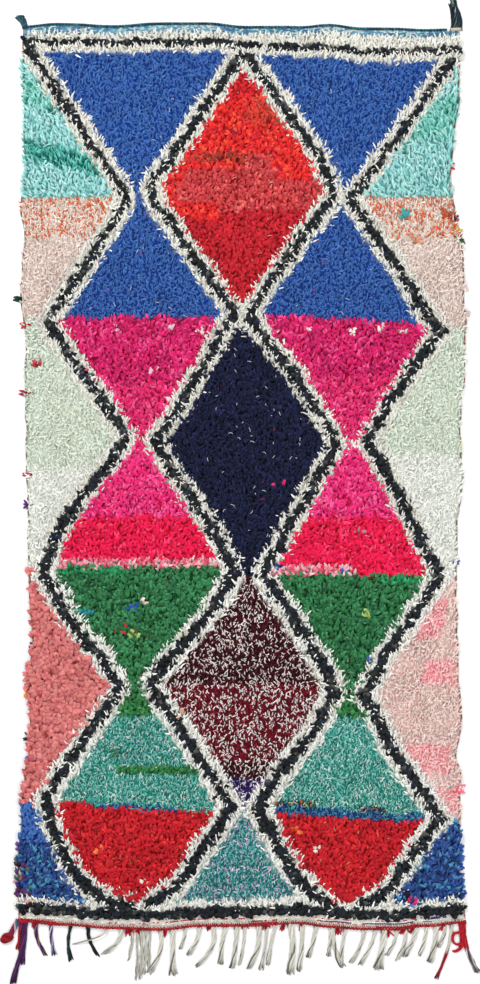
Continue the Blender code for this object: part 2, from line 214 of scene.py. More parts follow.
class Board:
    """A material's nodes. Its shader stands ready, with the cloth's plain settings."""

    def __init__(self, name, rough=0.95, sheen=0.04):
        self.material = bpy.data.materials.new(name)
        self.material.use_nodes = True
        self.shader = self.material.node_tree.nodes["Principled BSDF"]
        self.shader.inputs["Roughness"].default_value = rough
        self.shader.inputs["Specular IOR Level"].default_value = 0.12
        self.shader.inputs["Sheen Weight"].default_value = sheen
        self.shader.inputs["Sheen Roughness"].default_value = 0.6

    def plug(self, socket, value):
        if isinstance(value, Wire):
            self.material.node_tree.links.new(value.socket, socket)
        elif value is not None:
            socket.default_value = value

    def node(self, kind, settings, *values, out=0, **named):
        made = self.material.node_tree.nodes.new(kind)
        for key, value in settings.items():
            setattr(made, key, value)
        for socket, value in zip(made.inputs, values):
            self.plug(socket, value)
        for key, value in named.items():
            self.plug(made.inputs[key.replace("_", " ")], value)
        return Wire(self, made.outputs[out])

    def place(self):
        """Where a point is on the piece, in metres."""
        return self.node("ShaderNodeTexCoord", {}, out="Object")

    def noise(self, scale, detail=3.0, rough=0.55, where=None):
        return self.node("ShaderNodeTexNoise", {}, Vector=where or self.place(), Scale=scale,
                         Detail=detail, Roughness=rough)

    def axis(self, name):
        return self.node("ShaderNodeSeparateXYZ", {}, self.place(), out=name)

    def mark(self, name):
        """A number that the mesh carries at each of its points."""
        return self.node("ShaderNodeAttribute", {"attribute_name": name}, out="Fac")

    def tint(self):
        """The colour that the mesh carries at each of its points."""
        return self.node("ShaderNodeVertexColor", {"layer_name": "rag_colour"})

    def mix(self, share, first, second, how="MIX"):
        settings = {"data_type": "RGBA", "blend_type": how}
        made = self.node("ShaderNodeMix", settings, out=2)
        node = made.socket.node
        for socket, value in ((node.inputs[0], share), (node.inputs[6], first), (node.inputs[7], second)):
            if not isinstance(value, Wire) and socket.type == "RGBA":
                value = (*value, 1)
            self.plug(socket, value)
        return made

    def grey(self, level):
        """A number as a grey colour."""
        return self.node("ShaderNodeCombineColor", {}, level, level, level)

    def finish(self, colour, rough=None, height=None, strength=0.5, distance=0.001):
        self.plug(self.shader.inputs["Base Color"], colour)
        if rough is not None:
            self.plug(self.shader.inputs["Roughness"], rough)
        if height is not None:
            bump = self.node("ShaderNodeBump", {}, Strength=strength, Distance=distance, Height=height)
            self.plug(self.shader.inputs["Normal"], bump)
        return self.material


def cloth_point(share_x, share_y, inset=0.0, start=0.0, stop=0.0):
    """A point of the cloth, or of a smaller sheet inset in it, from 0 to 1 each way."""
    rough = 0.6 * (2 * share_x - 1)
    first, last = end_edge(-1, rough) + start, end_edge(1, rough) - stop
    y = first + share_y * (last - first)
    left, right = side_edge(-1, y) + inset, side_edge(1, y) - inset
    return left + share_x * (right - left), y


def sheet_faces(columns, rows, flip=False):
    """The cells of a grid whose points run row by row."""
    across, along = np.meshgrid(np.arange(columns), np.arange(rows))
    first = (along * (columns + 1) + across).ravel()
    cells = np.stack((first, first + 1, first + columns + 2, first + columns + 1), 1)
    return cells[:, ::-1] if flip else cells


def rim_faces(columns, rows):
    """The walls between a grid's rim and that of the same grid further down the list."""
    wide = columns + 1
    rim = [*range(columns), *range(columns, wide * rows, wide),
           *range(wide * rows + columns, wide * rows, -1), *range(wide * rows, 0, -wide)]
    rim = np.array(rim)
    further = np.roll(rim, -1)
    count = wide * (rows + 1)
    return np.stack((rim, rim + count, further + count, further), 1)


def hang(piece, finish, slot, *nodes):
    """Fixes a piece to the rug, with its finish, in place of the solids that it dresses."""
    piece.data.materials.append(finish)
    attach(piece, "root")
    if nodes:
        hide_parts(*nodes)


WOOL = (0.60, 0.56, 0.47)

share_x, share_y = np.meshgrid(np.linspace(0, 1, CLOTH_CELLS[0] + 1), np.linspace(0, 1, CLOTH_CELLS[1] + 1))
cloth_x, cloth_y = (part.ravel() for part in cloth_point(share_x, share_y))
cloth_count = len(cloth_x)
dimple = 0.00025 * drift(cloth_x, cloth_y, 0.016, 3)
cloth = make_mesh(
    "ground_cloth",
    np.concatenate((points_at(cloth_x, cloth_y, CLOTH_THICK - 0.0003 + dimple),
                    points_at(cloth_x, cloth_y, np.abs(dimple)))),
    np.concatenate((sheet_faces(*CLOTH_CELLS), sheet_faces(*CLOTH_CELLS, flip=True) + cloth_count,
                    rim_faces(*CLOTH_CELLS)[:, ::-1])),
    np.tile(WOOL, (2 * cloth_count, 1)),
    extras=(("knotted", np.zeros(2 * cloth_count)),))
board = Board("plain_weave")
over = board.axis("X").wave(WARP_PITCH) * board.axis("Y").wave(WEFT_PITCH)
knot_row = board.axis("Y").wave(KNOT_ROWS).above(0.1) * board.noise(240.0, 1.0).above(0.44)
fibre = board.noise(900.0)
wool = board.mix(board.mark("knotted") * knot_row, WOOL, board.tint())
# painted shade: the weave's colour is darker where its yarns dip under each other
hang(cloth, board.finish(
    board.mix(1.0, wool, board.grey(over.fit(-1, 1, 0.78, 1.05) * fibre.fit(0.3, 0.7, 0.86, 1.05)), "MULTIPLY"),
    fibre.fit(0.2, 0.8, 0.85, 1.0), over + fibre * 0.4, 0.6, 0.0012), "woven_cloth", "ground_weave")


# ---- The flat-woven bands
# Before and after the knotting the cloth is woven plain: light blue weft at the corded
# end, and ivory at the fringed one, with single rows of red, white, navy and purple.
BLUE_BAND = ((112, 164, 186), (196, 208, 204), (84, 142, 176), (148, 190, 198), (70, 108, 160), (58, 128, 142))
IVORY_BAND = ((234, 232, 222), (226, 223, 212), (240, 238, 230), (216, 212, 200))
STITCH_ROWS = (
    # how far in from the fringed end, where along the end it runs, its dyes, its share
    (0.0158, -0.235, 0.035, ((206, 44, 60), (206, 44, 60), (230, 222, 212)), 0.9),
    (0.0088, 0.030, 0.130, ((66, 64, 62), (230, 226, 216)), 1.0),
    (0.0088, -0.460, -0.235, ((214, 96, 112), (236, 230, 220), (236, 230, 220)), 0.8),
    (0.0123, -0.360, -0.240, ((200, 60, 72), (230, 224, 212), (230, 224, 212)), 0.9),
    (0.0193, 0.190, 0.300, ((206, 50, 60), (232, 226, 216)), 1.0),
    (0.0123, 0.205, 0.300, ((58, 50, 120), (58, 50, 120), (200, 50, 60)), 1.0),
    (0.0088, 0.240, 0.340, ((206, 60, 60), (236, 230, 218)), 1.0),
    (0.0193, 0.340, 0.500, ((200, 60, 66), (232, 226, 216)), 0.9),
    (0.0123, 0.330, 0.470, ((36, 70, 112), (40, 96, 110), (44, 64, 124)), 1.0),
    (0.0158, 0.330, 0.470, ((234, 230, 222), (240, 236, 228)), 1.0),
    (0.0088, 0.460, 0.570, ((230, 226, 220), (84, 60, 130), (230, 226, 220)), 1.0),
    (0.0158, 0.470, 0.585, ((40, 56, 120), (230, 226, 220), (84, 60, 130)), 1.0),
    (0.0193, 0.480, 0.585, ((44, 64, 124), (226, 222, 216), (96, 52, 120)), 1.0),
)


def dye(red, green, blue):
    """A dyed colour, read from 0 to 255 as it looks to the eye, as light."""
    looked = np.array((red, green, blue), float) / 255
    return np.where(looked <= 0.04045, looked / 12.92, ((looked + 0.055) / 1.055) ** 2.4)


def picked(dyes, share):
    """A dye for each share, from 0 for the first of the dyes up to 1 for the last."""
    shades = np.array([dye(*part) for part in dyes])
    return shades[np.clip((share * len(shades)).astype(int), 0, len(shades) - 1)]


def uneven(colours, by, luck):
    """The same colours, with the tone of each varied by chance."""
    return colours * (1 + by * luck.normal(0, 1, (len(colours), 1)))


def headings(spine):
    """The way that each stretch of some spines runs."""
    ways = [spine[:, step + 1] - spine[:, step] for step in range(spine.shape[1] - 1)]
    return [way / np.linalg.norm(way, axis=1)[:, None] for way in ways]


def ribbons(name, spine, ways, wide, colours, luck, tip=0.5, reach_from=0.0):
    """Creased ribbons along spines, one to a row of the arrays."""
    count, stations = spine.shape[:2]
    profile = {3: (0.55, 1.0, tip), 4: (0.5, 0.95, 1.0, tip)}[stations]
    roll = luck.normal(0, 0.28, count)
    points = np.zeros((count, stations, 3, 3))
    crease = wide * luck.uniform(0.04, 0.24, count)
    skew = wide * luck.uniform(-0.6, 0.6, count)
    for station in range(stations):
        way = ways[min(station, stations - 2)]
        side = np.cross(way, (0.0, 0.0, 1.0))
        side /= np.linalg.norm(side, axis=1)[:, None] + 1e-9
        up = np.cross(side, way)
        tilt = roll * (0.4 + station / stations)
        across = side * np.cos(tilt)[:, None] + up * np.sin(tilt)[:, None]
        crest = up * np.cos(tilt)[:, None] - side * np.sin(tilt)[:, None]
        half = (wide / 2 * profile[station])[:, None]
        slant = way * (skew * (station == stations - 1))[:, None] * 0.5
        points[:, station, 0] = spine[:, station] - across * half - slant
        points[:, station, 1] = spine[:, station] + crest * (crease * profile[station])[:, None]
        points[:, station, 2] = spine[:, station] + across * half + slant
    points[..., 2] = np.maximum(points[..., 2], 0.0004)
    each = stations * 3
    cells = np.array([
        (3 * row + part, 3 * row + part + 1, 3 * row + part + 4, 3 * row + part + 3)
        for row in range(stations - 1) for part in (0, 1)
    ])
    faces = (np.arange(count)[:, None, None] * each + cells[None]).reshape(-1, 4)
    # reach runs from the knot to the tip; from it the rag finish paints shade by the knot
    reach = np.tile(np.repeat(np.linspace(reach_from, 1, stations), 3), count)
    square = int(np.ceil(np.sqrt(count)))
    column, row = np.arange(count) % square, np.arange(count) // square
    local = np.array([(0.12 + 0.38 * part, 0.1 + 0.8 * step / (stations - 1))
                      for step in range(stations) for part in range(3)])
    uv = (np.stack((column, row), 1)[:, None] + local[None]) / square
    return make_mesh(name, points.reshape(-1, 3), faces, np.repeat(colours, each, axis=0),
                     uv=uv.reshape(-1, 2), extras=(("reach", reach),))


def rag_cloth(name, rough=0.92, fuzz=0.35):
    """The finish of cut rag: jersey and cotton, painted darker towards the knot as shade, faintly mottled."""
    board = Board(name, rough)
    where = board.place()
    weave = board.noise(1400.0, 2.0, 0.6, where)
    mottle = board.noise(95.0, 3.0, 0.6, where)
    crumple = board.noise(330.0, 3.0, 0.6, where)
    reach = board.mark("reach")
    # light that has gone from rag to rag takes on more of the dye at each turn
    deep = board.node("ShaderNodeGamma", {}, board.tint(), 1.0 + reach.fit(0.0, 0.8, 0.55, 0.0))
    # painted shade: the colour darkens towards the knot, where the rags shade each other, and in the hollows of
    # the crumple
    shade = reach.fit(0.0, 0.70, 0.62, 1.0) * mottle.fit(0.3, 0.7, 0.94, 1.06)
    shade = shade * crumple.fit(0.32, 0.68, 0.88, 1.07)
    colour = board.mix(1.0, deep, board.grey(shade * weave.fit(0.2, 0.8, 0.94, 1.04)), "MULTIPLY")
    height = crumple * 2.0 + weave * fuzz
    return board.finish(colour, weave.fit(0.2, 0.8, rough - 0.08, rough + 0.05), height, 0.7, 0.0016)


def floats(name, end, deep, dyes, long, rows_of_stitch, seed, first=0.0):
    """A flat-woven band at an end of the cloth: weft laid over the warps, row by row."""
    luck = np.random.default_rng(seed)
    pitch = 0.0035
    rows = int((deep - first) / pitch)
    columns = int(1.22 / long)
    column, row = np.meshgrid(np.arange(columns), np.arange(rows))
    column, row = column.ravel(), row.ravel()
    x = -0.61 + long * (column + 0.5 * (row % 2)) + luck.normal(0, 0.0004, len(row))
    into = first + pitch * (row + 0.5)
    left, right = (side_edge(side, end * CORNER_AT) for side in (-1, 1))
    inside = (x > left + long * 0.5) & (x < right - long * 0.5)
    x, into, row = x[inside], into[inside], row[inside]
    mixed = 0.5 + 0.45 * drift(x, 0.02 * row, 0.055, seed) + luck.normal(0, 0.22, len(x))
    colours = uneven(picked(dyes, mixed), 0.06, luck)
    for into_row, left, right, row_dyes, share in rows_of_stitch:
        hit = (np.abs(into - into_row) < pitch / 2) & (x > left) & (x < right) & (luck.random(len(x)) < share)
        row_shade = np.array([dye(*part) for part in row_dyes])
        colours[hit] = row_shade[luck.integers(0, len(row_shade), hit.sum())]
    spine = points_at(
        x[:, None] + long * np.array((-0.52, 0.0, 0.52)),
        end_edge(end, x)[:, None] - end * into[:, None] + luck.normal(0, 0.0003, (len(x), 3)),
        (0.0032, 0.0046, 0.0032))
    wide = np.full(len(x), pitch * 1.15)
    return ribbons(name, spine, headings(spine), wide, np.clip(colours, 0, 0.95), luck, 0.55, 0.7)


rag_finish = rag_cloth("cut_rag")
hang(floats("band_blue", 1, 0.030, BLUE_BAND, 0.0078, (), 90), rag_finish, "woven_cloth", "ground_weave")
hang(floats("band_ivory", -1, 0.0285, IVORY_BAND, 0.0058, STITCH_ROWS, 95),
     rag_finish, "woven_cloth", "ground_weave")


# ---- The black lines
# Old black and charcoal jersey, cut in broad strips and knotted on the warps row by row,
# two cut ends to a knot. The lines zigzag down the rug and close it off at each end.

# the zigzag lines, each from the corded end down to the fringed one
ZIGZAGS = (
    # the outer line on the left
    ((-0.583, 1.172), (-0.312, 0.764), (-0.310, 0.733), (-0.519, 0.414), (-0.303, 0.105), (-0.345, 0.045),
     (-0.418, -0.046), (-0.490, -0.152), (-0.531, -0.264), (-0.438, -0.420), (-0.382, -0.478),
     (-0.325, -0.572), (-0.527, -0.872), (-0.513, -0.937), (-0.489, -0.991), (-0.451, -1.072),
     (-0.400, -1.120), (-0.346, -1.154), (-0.297, -1.158)),
    # the inner line on the left
    ((0.000, 1.131), (-0.236, 0.784), (-0.236, 0.749), (-0.014, 0.440), (-0.172, 0.174), (-0.228, 0.096),
     (-0.186, 0.012), (-0.139, -0.045), (-0.070, -0.155), (-0.016, -0.267), (-0.080, -0.370), (-0.175, -0.476),
     (-0.241, -0.564), (-0.022, -0.894), (-0.100, -1.004), (-0.145, -1.075), (-0.194, -1.126),
     (-0.248, -1.153)),
    # the inner line on the right
    ((0.018, 1.130), (0.089, 1.037), (0.202, 0.875), (0.247, 0.780), (0.246, 0.745), (0.180, 0.658),
     (0.062, 0.497), (0.024, 0.427), (0.140, 0.280), (0.219, 0.163), (0.260, 0.084), (0.243, 0.052),
     (0.217, 0.010), (0.168, -0.080), (0.060, -0.265), (0.135, -0.367), (0.235, -0.529), (0.260, -0.583),
     (0.196, -0.691), (0.110, -0.800), (0.046, -0.899), (0.083, -0.961), (0.114, -1.022), (0.148, -1.078),
     (0.190, -1.125), (0.240, -1.155)),
    # the outer line on the right
    ((0.570, 1.118), (0.358, 0.822), (0.300, 0.750), (0.355, 0.659), (0.436, 0.551), (0.497, 0.443),
     (0.545, 0.390), (0.460, 0.281), (0.389, 0.173), (0.345, 0.088), (0.392, 0.010), (0.474, -0.151),
     (0.538, -0.272), (0.400, -0.475), (0.336, -0.588), (0.415, -0.745), (0.541, -0.924), (0.462, -1.029),
     (0.421, -1.088), (0.378, -1.139), (0.327, -1.156)),
)
# how far the black line by the cord lies from the cloth's end, along the rug's width
TOP_LINE_IN = (
    (-0.572, -0.486, -0.411, -0.350, -0.190, 0.000, 0.150, 0.235, 0.290, 0.360, 0.440, 0.500, 0.550),
    (0.029, 0.043, 0.035, 0.038, 0.042, 0.038, 0.045, 0.048, 0.056, 0.053, 0.056, 0.048, 0.044),
)
FOOT_LINE_IN = 0.0405     # and the one by the fringe from the other end
BLACK_HALF = 0.0113       # half a black line's width
TOP_LESS = 0.0016         # each side of the line by the cord is this much less than half
FOOT_LESS = 0.0012        # and each side of the one by the fringe
BROADEN = 0.0019          # the lines were tied broader towards the fringed end
IVORY_WIDE = 0.0190       # the ivory beside a black line
IVORY_STRIP = 0.0233      # all the pile up to the blue band counts as this near to its line
LEAN = 0.012              # how far the visible middle of a rag lies from its knot
KNOT_LOW = 0.0045         # how high a rag leaves its knot
FOOT_KNOTS = 0.0180       # the first row of knots, from the fringed end
SIDE_KNOTS = 0.004        # the last knots of a row, from the cloth's sides
STRAYING = 0.022          # rags this near to a side lean out over it
OVERHANG = 0.005          # how far they reach past it before they bend down
# A rag: its colour, its share of the patch, and how much its tone varies.
Rag = namedtuple("Rag", "colour share vary", defaults=(1.0, 0.12))
black_rags = (
    Rag((36, 41, 45), 9, 0.18), Rag((28, 31, 35), 6, 0.18), Rag((32, 40, 58), 1.6, 0.15),
    Rag((80, 82, 80), 3.2, 0.15),
)
# How a group of patches is tied: the pitch of the knots across and along the rug, the
# rag's width and length, how many ends each knot shows, how far they splay, how wide
# the cut end is by the middle, how upright they stand, and which way they are combed.
Tie = namedtuple("Tie", "across along wide long ends splay tip stand way", defaults=(0.5, 1.0, 0.0))
BLACK = Tie(0.0094, 0.0100, 0.0108, 0.020, 2, 0.65, 0.7)


def from_lines(x, y):
    """How far a point is from the middle of the nearest black line, as knotted by hand."""
    x = x + 0.0042 * drift(x, y, 0.024, 5) + 0.0040 * drift(x, y, 0.011, 7)
    y = y + 0.0042 * drift(x, y, 0.021, 6) + 0.0034 * drift(x, y, 0.010, 8)
    below = end_edge(1, x) - np.interp(x, *TOP_LINE_IN) - y
    nearest = np.minimum(
        np.where(below < 0, np.minimum(-below, IVORY_STRIP), below) + TOP_LESS,
        np.abs(y - end_edge(-1, x) - FOOT_LINE_IN) + FOOT_LESS)
    for line in ZIGZAGS:
        for (x0, y0), (x1, y1) in zip(line, line[1:]):
            run = (x1 - x0) ** 2 + (y1 - y0) ** 2
            share = np.clip(((x - x0) * (x1 - x0) + (y - y0) * (y1 - y0)) / run, 0, 1)
            nearest = np.minimum(nearest, np.hypot(x - x0 - share * (x1 - x0), y - y0 - share * (y1 - y0)))
    return nearest + BROADEN * y


def knots(tie, seed, pick):
    """Places of the knots of a tie, and the palette number that pick gives each."""
    columns, rows = int(1.3 / tie.across), int(2.5 / tie.along)
    luck = np.random.default_rng(seed)
    x, y = np.meshgrid((np.arange(columns) - columns / 2) * tie.across,
                       (np.arange(rows) - rows / 2) * tie.along)
    x = x + tie.across * (0.5 * (np.arange(rows) % 2)[:, None] + luck.uniform(-0.32, 0.32, x.shape))
    y = y + tie.along * luck.uniform(-0.25, 0.25, y.shape)
    x, y = x.ravel(), y.ravel()
    inside = (x > side_edge(-1, y) + SIDE_KNOTS) & (x < side_edge(1, y) - SIDE_KNOTS)
    inside &= (y > end_edge(-1, x) + FOOT_KNOTS) & (y < end_edge(1, x) - BARE_CORDED + 0.002)
    x, y = x[inside], y[inside]
    number = pick(x, y + LEAN)
    return x[number >= 0], y[number >= 0], number[number >= 0]


def in_line(low, high, change=-2.0):
    """A pick for the lines: 0 where a point is this far from a black line's middle, or 1
    where it lies nearer the fringed end than the change of rags."""
    def pick(x, y):
        gap = from_lines(x, y)
        return np.where((gap >= low) & (gap < high), (y < change).astype(int), -1)
    return pick


GAIN = 1.02               # the piled rags shade each other, so each is dyed this much lighter
CLUMPED = 0.18            # how much of the choice of a rag is by clumps


def colour_knots(x, y, number, palettes, luck):
    """Each knot's colour out of its patch's rags. Like rags keep together in clumps."""
    colours = np.zeros((len(x), 3))
    clump = 0.5 + 0.5 * drift(x, y, 0.045, 21)
    for index, rags in enumerate(palettes):
        here = number == index
        shares = np.cumsum([rag.share for rag in rags])
        draw = np.clip((1 - CLUMPED) * luck.random(here.sum()) + CLUMPED * clump[here], 0, 0.9999)
        chosen = np.minimum(np.searchsorted(shares / shares[-1], draw), len(rags) - 1)
        shades = np.array([dye(*rag.colour) for rag in rags])[chosen]
        vary = np.array([rag.vary for rag in rags])[chosen]
        tone = 1 + vary * luck.normal(0, 1, here.sum())
        warm = 1 + 0.35 * vary[:, None] * luck.normal(0, 1, (here.sum(), 3))
        colours[here] = shades * np.clip(tone, 0.45, 1.7)[:, None] * warm
    return np.clip(colours * GAIN, 0, 0.96)


def rag_strips(name, x, y, colours, tie, seed):
    """Cut ends of rag, each a creased ribbon that rises from its knot and leans over.

    Each ribbon has a cell of its own in the map, so its colour keeps when it's baked.
    """
    luck = np.random.default_rng(seed)
    x, y, colours = (np.repeat(part, tie.ends, axis=0) for part in (x, y, colours))
    count = len(x)
    colours = uneven(colours, 0.05, luck)
    steps = 3 if tie.wide > 0.005 else 2
    heading = tie.way + 0.30 * drift(x, y, 0.060, 31) + tie.splay * luck.normal(0, 1, count)
    heading = heading + np.tile([-0.25, 0.25], count)[:count] * (tie.ends > 1)
    inward = np.where(x < 0, x - side_edge(-1, y), side_edge(1, y) - x)
    stray = np.clip(1 - inward / STRAYING, 0, 1) * luck.uniform(-1.0, 1.3, count).clip(0, 1.3)
    heading = heading + np.sign(x) * stray
    rise = 1 + 0.16 * drift(x, y, 0.040, 32) + 0.10 * drift(x, y, 0.150, 33)
    long = tie.long * luck.normal(1, 0.14, count).clip(0.55, 1.4)
    wide = tie.wide * luck.normal(1, 0.18, count).clip(0.5, 1.5)
    bends = (luck.uniform(0.95, 1.45, count), luck.uniform(0.35, 0.95, count), luck.uniform(-0.25, 0.45, count))
    if steps == 2:        # a narrow rag bends less, and its draws follow those of a broad one
        bends = (luck.uniform(0.85, 1.35, count), luck.uniform(-0.05, 0.65, count))
    turn = luck.normal(0, 0.35, count)
    spine = np.zeros((count, steps + 1, 3))
    spine[:, 0] = points_at(x, y, KNOT_LOW)
    ways = []
    for step, bend in enumerate(bends):
        bend = bend * tie.stand * rise * (1 - 0.35 * stray * (step > 0))
        facing = heading + turn * step / steps
        way = points_at(np.sin(facing) * np.cos(bend), np.cos(facing) * np.cos(bend), np.sin(bend))
        ways.append(way)
        spine[:, step + 1] = spine[:, step] + way * (long / steps)[:, None]
    for side in (-1, 1):
        past = side * (spine[:, :, 0] - side_edge(side, spine[:, :, 1])) - OVERHANG
        spine[:, :, 0] -= side * 0.7 * np.maximum(past, 0)
    spine[:, :, 2] = np.maximum(spine[:, :, 2], KNOT_LOW)
    return ribbons(name, spine, ways, wide, colours, luck, tie.tip)


def tie_pile(name, pick, palettes, tie, seed):
    """Knots a piece of the pile: pick says where, and with which of the palettes."""
    x, y, number = knots(tie, seed, pick)
    colours = colour_knots(x, y, number, palettes, np.random.default_rng(seed + 1))
    hang(rag_strips(name, x, y, colours, tie, seed + 2), rag_finish, "rag_pile", "rag_pile")


tie_pile("pile_black", in_line(-1.0, BLACK_HALF), [black_rags], BLACK, 100)


# ---- The ivory lines
# Undyed cotton rag, knotted close along both sides of each black line. It is cut finer
# than the black, and its long pointed ends stray over the colours.
ivory_rags = (
    Rag((233, 232, 223), 9, 0.03), Rag((239, 238, 230), 5, 0.02), Rag((224, 221, 210), 3, 0.04),
    Rag((233, 223, 215), 1.2, 0.04),
)
white_rags = (
    Rag((242, 242, 236), 9, 0.02), Rag((247, 247, 242), 5, 0.02), Rag((233, 231, 222), 3, 0.03),
    Rag((240, 230, 224), 1, 0.03),
)
IVORY = Tie(0.0055, 0.0060, 0.0050, 0.022, 1, 0.65, 0.4, 0.85)
WHITER_FROM = -0.18       # from here to the fringed end the rag is whiter
beside = in_line(BLACK_HALF, BLACK_HALF + IVORY_WIDE, WHITER_FROM)
tie_pile("pile_ivory", beside, [ivory_rags, white_rags], IVORY, 110)


# ---- The blue patches
# Royal blue cotton: the triangles and half diamonds near the corded end, in a middling
# rag, and the fringed end's corners in coarser rag mixed with lighter blues.

# A patch of colour: its column, where it begins and ends along the rug, the part of
# its column's width from left to right that it fills, the rags that it is tied of, and
# how far its ends slope.
Patch = namedtuple("Patch", "column top foot rags left right slope", defaults=(-1.0, 1.0, 0.0))
FELT = Tie(0.0056, 0.0061, 0.0046, 0.018, 1, 0.85, 0.5, 0.9)
CHIP = Tie(0.0089, 0.0093, 0.0078, 0.022, 2, 0.75, 0.45, 0.9)


def walls_at(y):
    """X of the walls between the pattern's columns: a side, the four zigzags, a side."""
    lines = [np.array(line)[::-1] for line in ZIGZAGS]
    return [side_edge(-1, y), *(np.interp(y, line[:, 1], line[:, 0]) for line in lines), side_edge(1, y)]


def in_patches(patches):
    """A pick for the open fields: the number of the patch that a point is in, or -1."""
    def pick(x, y):
        walls = walls_at(y)
        column = sum((x > wall).astype(int) for wall in walls[1:5])
        open_field = from_lines(x, y) > BLACK_HALF + IVORY_WIDE
        edge = y + 0.004 * drift(x, y, 0.035, 9)
        number = np.full(len(x), -1)
        for index, patch in enumerate(patches):
            left, right = walls[patch.column], walls[patch.column + 1]
            share = (2 * x - left - right) / np.maximum(right - left, 0.001)
            level = edge - patch.slope * (x - (left + right) / 2)
            hit = (column == patch.column) & (level < patch.top) & (level >= patch.foot)
            hit &= (share >= patch.left) & (share <= patch.right)
            number[hit & open_field] = index
        return number
    return pick


tied = []                 # every patch on the rug, as each is tied


def tie_patches(name, patches, tie, seed):
    """Knots a group of colour patches with one kind of tie."""
    tie_pile(name, in_patches(patches), [patch.rags for patch in patches], tie, seed)
    tied.extend(patches)


royal = (
    Rag((66, 108, 177), 9, 0.06), Rag((60, 100, 168), 5, 0.07), Rag((77, 120, 186), 3, 0.06),
    Rag((42, 68, 128), 0.9, 0.1),
)
corner_blue = (
    Rag((50, 82, 143), 8, 0.12), Rag((39, 64, 118), 5, 0.12), Rag((74, 118, 166), 2, 0.1),
    Rag((72, 138, 176), 2, 0.1), Rag((32, 42, 76), 1.4, 0.1),
)
edge_mix = (
    Rag((92, 56, 112), 3), Rag((60, 108, 88), 2), Rag((84, 38, 62), 3), Rag((206, 200, 190), 1),
    Rag((50, 84, 150), 4),
)
stripe_blue = (
    Rag((62, 112, 160), 4, 0.12), Rag((70, 138, 172), 2.5, 0.12), Rag((46, 74, 130), 2, 0.12),
    Rag((84, 164, 158), 2, 0.1),
)
tie_patches("pile_blue", (
    Patch(1, 1.30, 0.425, royal), Patch(3, 1.30, 0.421, royal, slope=-0.055),
    Patch(1, -0.889, -0.902, stripe_blue, -0.50, 0.45, -0.05),
    Patch(3, -0.900, -0.925, stripe_blue, slope=-0.056),
), FELT, 120)
tie_patches("pile_corner_blue", (
    Patch(0, -0.880, -0.985, royal), Patch(0, -0.985, -1.30, corner_blue), Patch(4, -0.934, -1.30, corner_blue),
    Patch(0, -1.030, -1.30, edge_mix, -1.0, -0.68),
), CHIP._replace(long=0.025), 130)


# ---- The red patches
# The middle diamond is bright red by its tip, then a dusty rose band, then red again.
# Two more red fields close the pattern at the fringed end, in coarse rag.
flame = (
    Rag((226, 52, 47), 6, 0.07), Rag((210, 42, 49), 6, 0.07), Rag((236, 82, 62), 2, 0.07),
    Rag((160, 32, 40), 1, 0.1), Rag((214, 102, 98), 0.8, 0.08),
)
scarlet = (
    Rag((198, 40, 52), 8, 0.08), Rag((184, 34, 46), 5, 0.09), Rag((146, 24, 38), 1.5, 0.12),
    Rag((208, 76, 78), 0.6, 0.08),
)
dusty = (
    Rag((202, 72, 75), 8, 0.09), Rag((186, 57, 63), 4, 0.09), Rag((216, 102, 98), 2, 0.1),
    Rag((134, 38, 46), 0.8, 0.1),
)
crimson = (
    Rag((200, 34, 45), 9, 0.07), Rag((184, 29, 41), 5, 0.09), Rag((212, 48, 52), 2.5, 0.08),
    Rag((138, 21, 32), 1.4, 0.12),
)
ruby = (
    Rag((206, 38, 46), 6, 0.08), Rag((188, 32, 44), 6, 0.09), Rag((222, 56, 52), 2, 0.08),
    Rag((136, 24, 36), 1.5, 0.1),
)
rust = (
    Rag((204, 72, 58), 6, 0.09), Rag((184, 62, 54), 4, 0.1), Rag((222, 60, 50), 3, 0.08),
    Rag((128, 62, 48), 1.5, 0.12),
)
brown_row = (
    Rag((180, 60, 52), 5, 0.1), Rag((146, 66, 52), 4, 0.12), Rag((202, 66, 56), 3, 0.1),
    Rag((110, 92, 60), 1.5, 0.12),
)
tie_patches("pile_red", (
    Patch(2, 1.30, 0.690, flame), Patch(2, 1.30, 1.025, ruby), Patch(2, 1.015, 0.945, rust, 0.0, 1.0),
    Patch(2, 0.872, 0.846, brown_row, -0.75, 0.15), Patch(2, 0.872, 0.830, dusty, 0.05, 0.35),
    Patch(2, 0.830, 0.800, dusty, -0.70, 0.40), Patch(2, 0.800, 0.735, dusty, -0.76, 1.0),
    Patch(2, 0.735, 0.712, dusty, -0.30, 1.0), Patch(2, 0.712, 0.690, scarlet, -0.30, 1.0),
    Patch(2, 0.690, 0.429, scarlet), Patch(1, -0.902, -1.30, crimson, slope=-0.05),
    Patch(1, -0.889, -0.902, crimson, -1.0, -0.50, -0.05), Patch(3, -0.925, -1.30, crimson, slope=-0.056),
), CHIP, 140)


# ---- The pink patches
# Magenta runs into hot pink down the second row, and hot pink into a redder pink down
# the third, which ends in a thin pale stripe.
LEAF = Tie(0.0082, 0.0086, 0.0072, 0.023, 2, 0.75, 0.35)
magenta = (
    Rag((212, 40, 108), 9, 0.12), Rag((192, 30, 96), 5, 0.12), Rag((226, 76, 136), 3, 0.1),
    Rag((150, 22, 74), 1.2, 0.14),
)
hot_pink = (
    Rag((220, 48, 112), 9, 0.1), Rag((232, 84, 138), 3, 0.08), Rag((202, 36, 98), 4, 0.1),
    Rag((226, 176, 190), 0.7, 0.06),
)
bright_pink = (Rag((232, 52, 124), 9, 0.09), Rag((240, 88, 148), 4, 0.08), Rag((214, 34, 108), 4, 0.1))
red_pink = (Rag((234, 30, 84), 9, 0.09), Rag((220, 26, 72), 4, 0.1), Rag((245, 66, 108), 3, 0.08))
pale_stripe = (Rag((226, 146, 158), 5, 0.06), Rag((226, 182, 184), 2.5, 0.05), Rag((226, 92, 122), 3, 0.1))
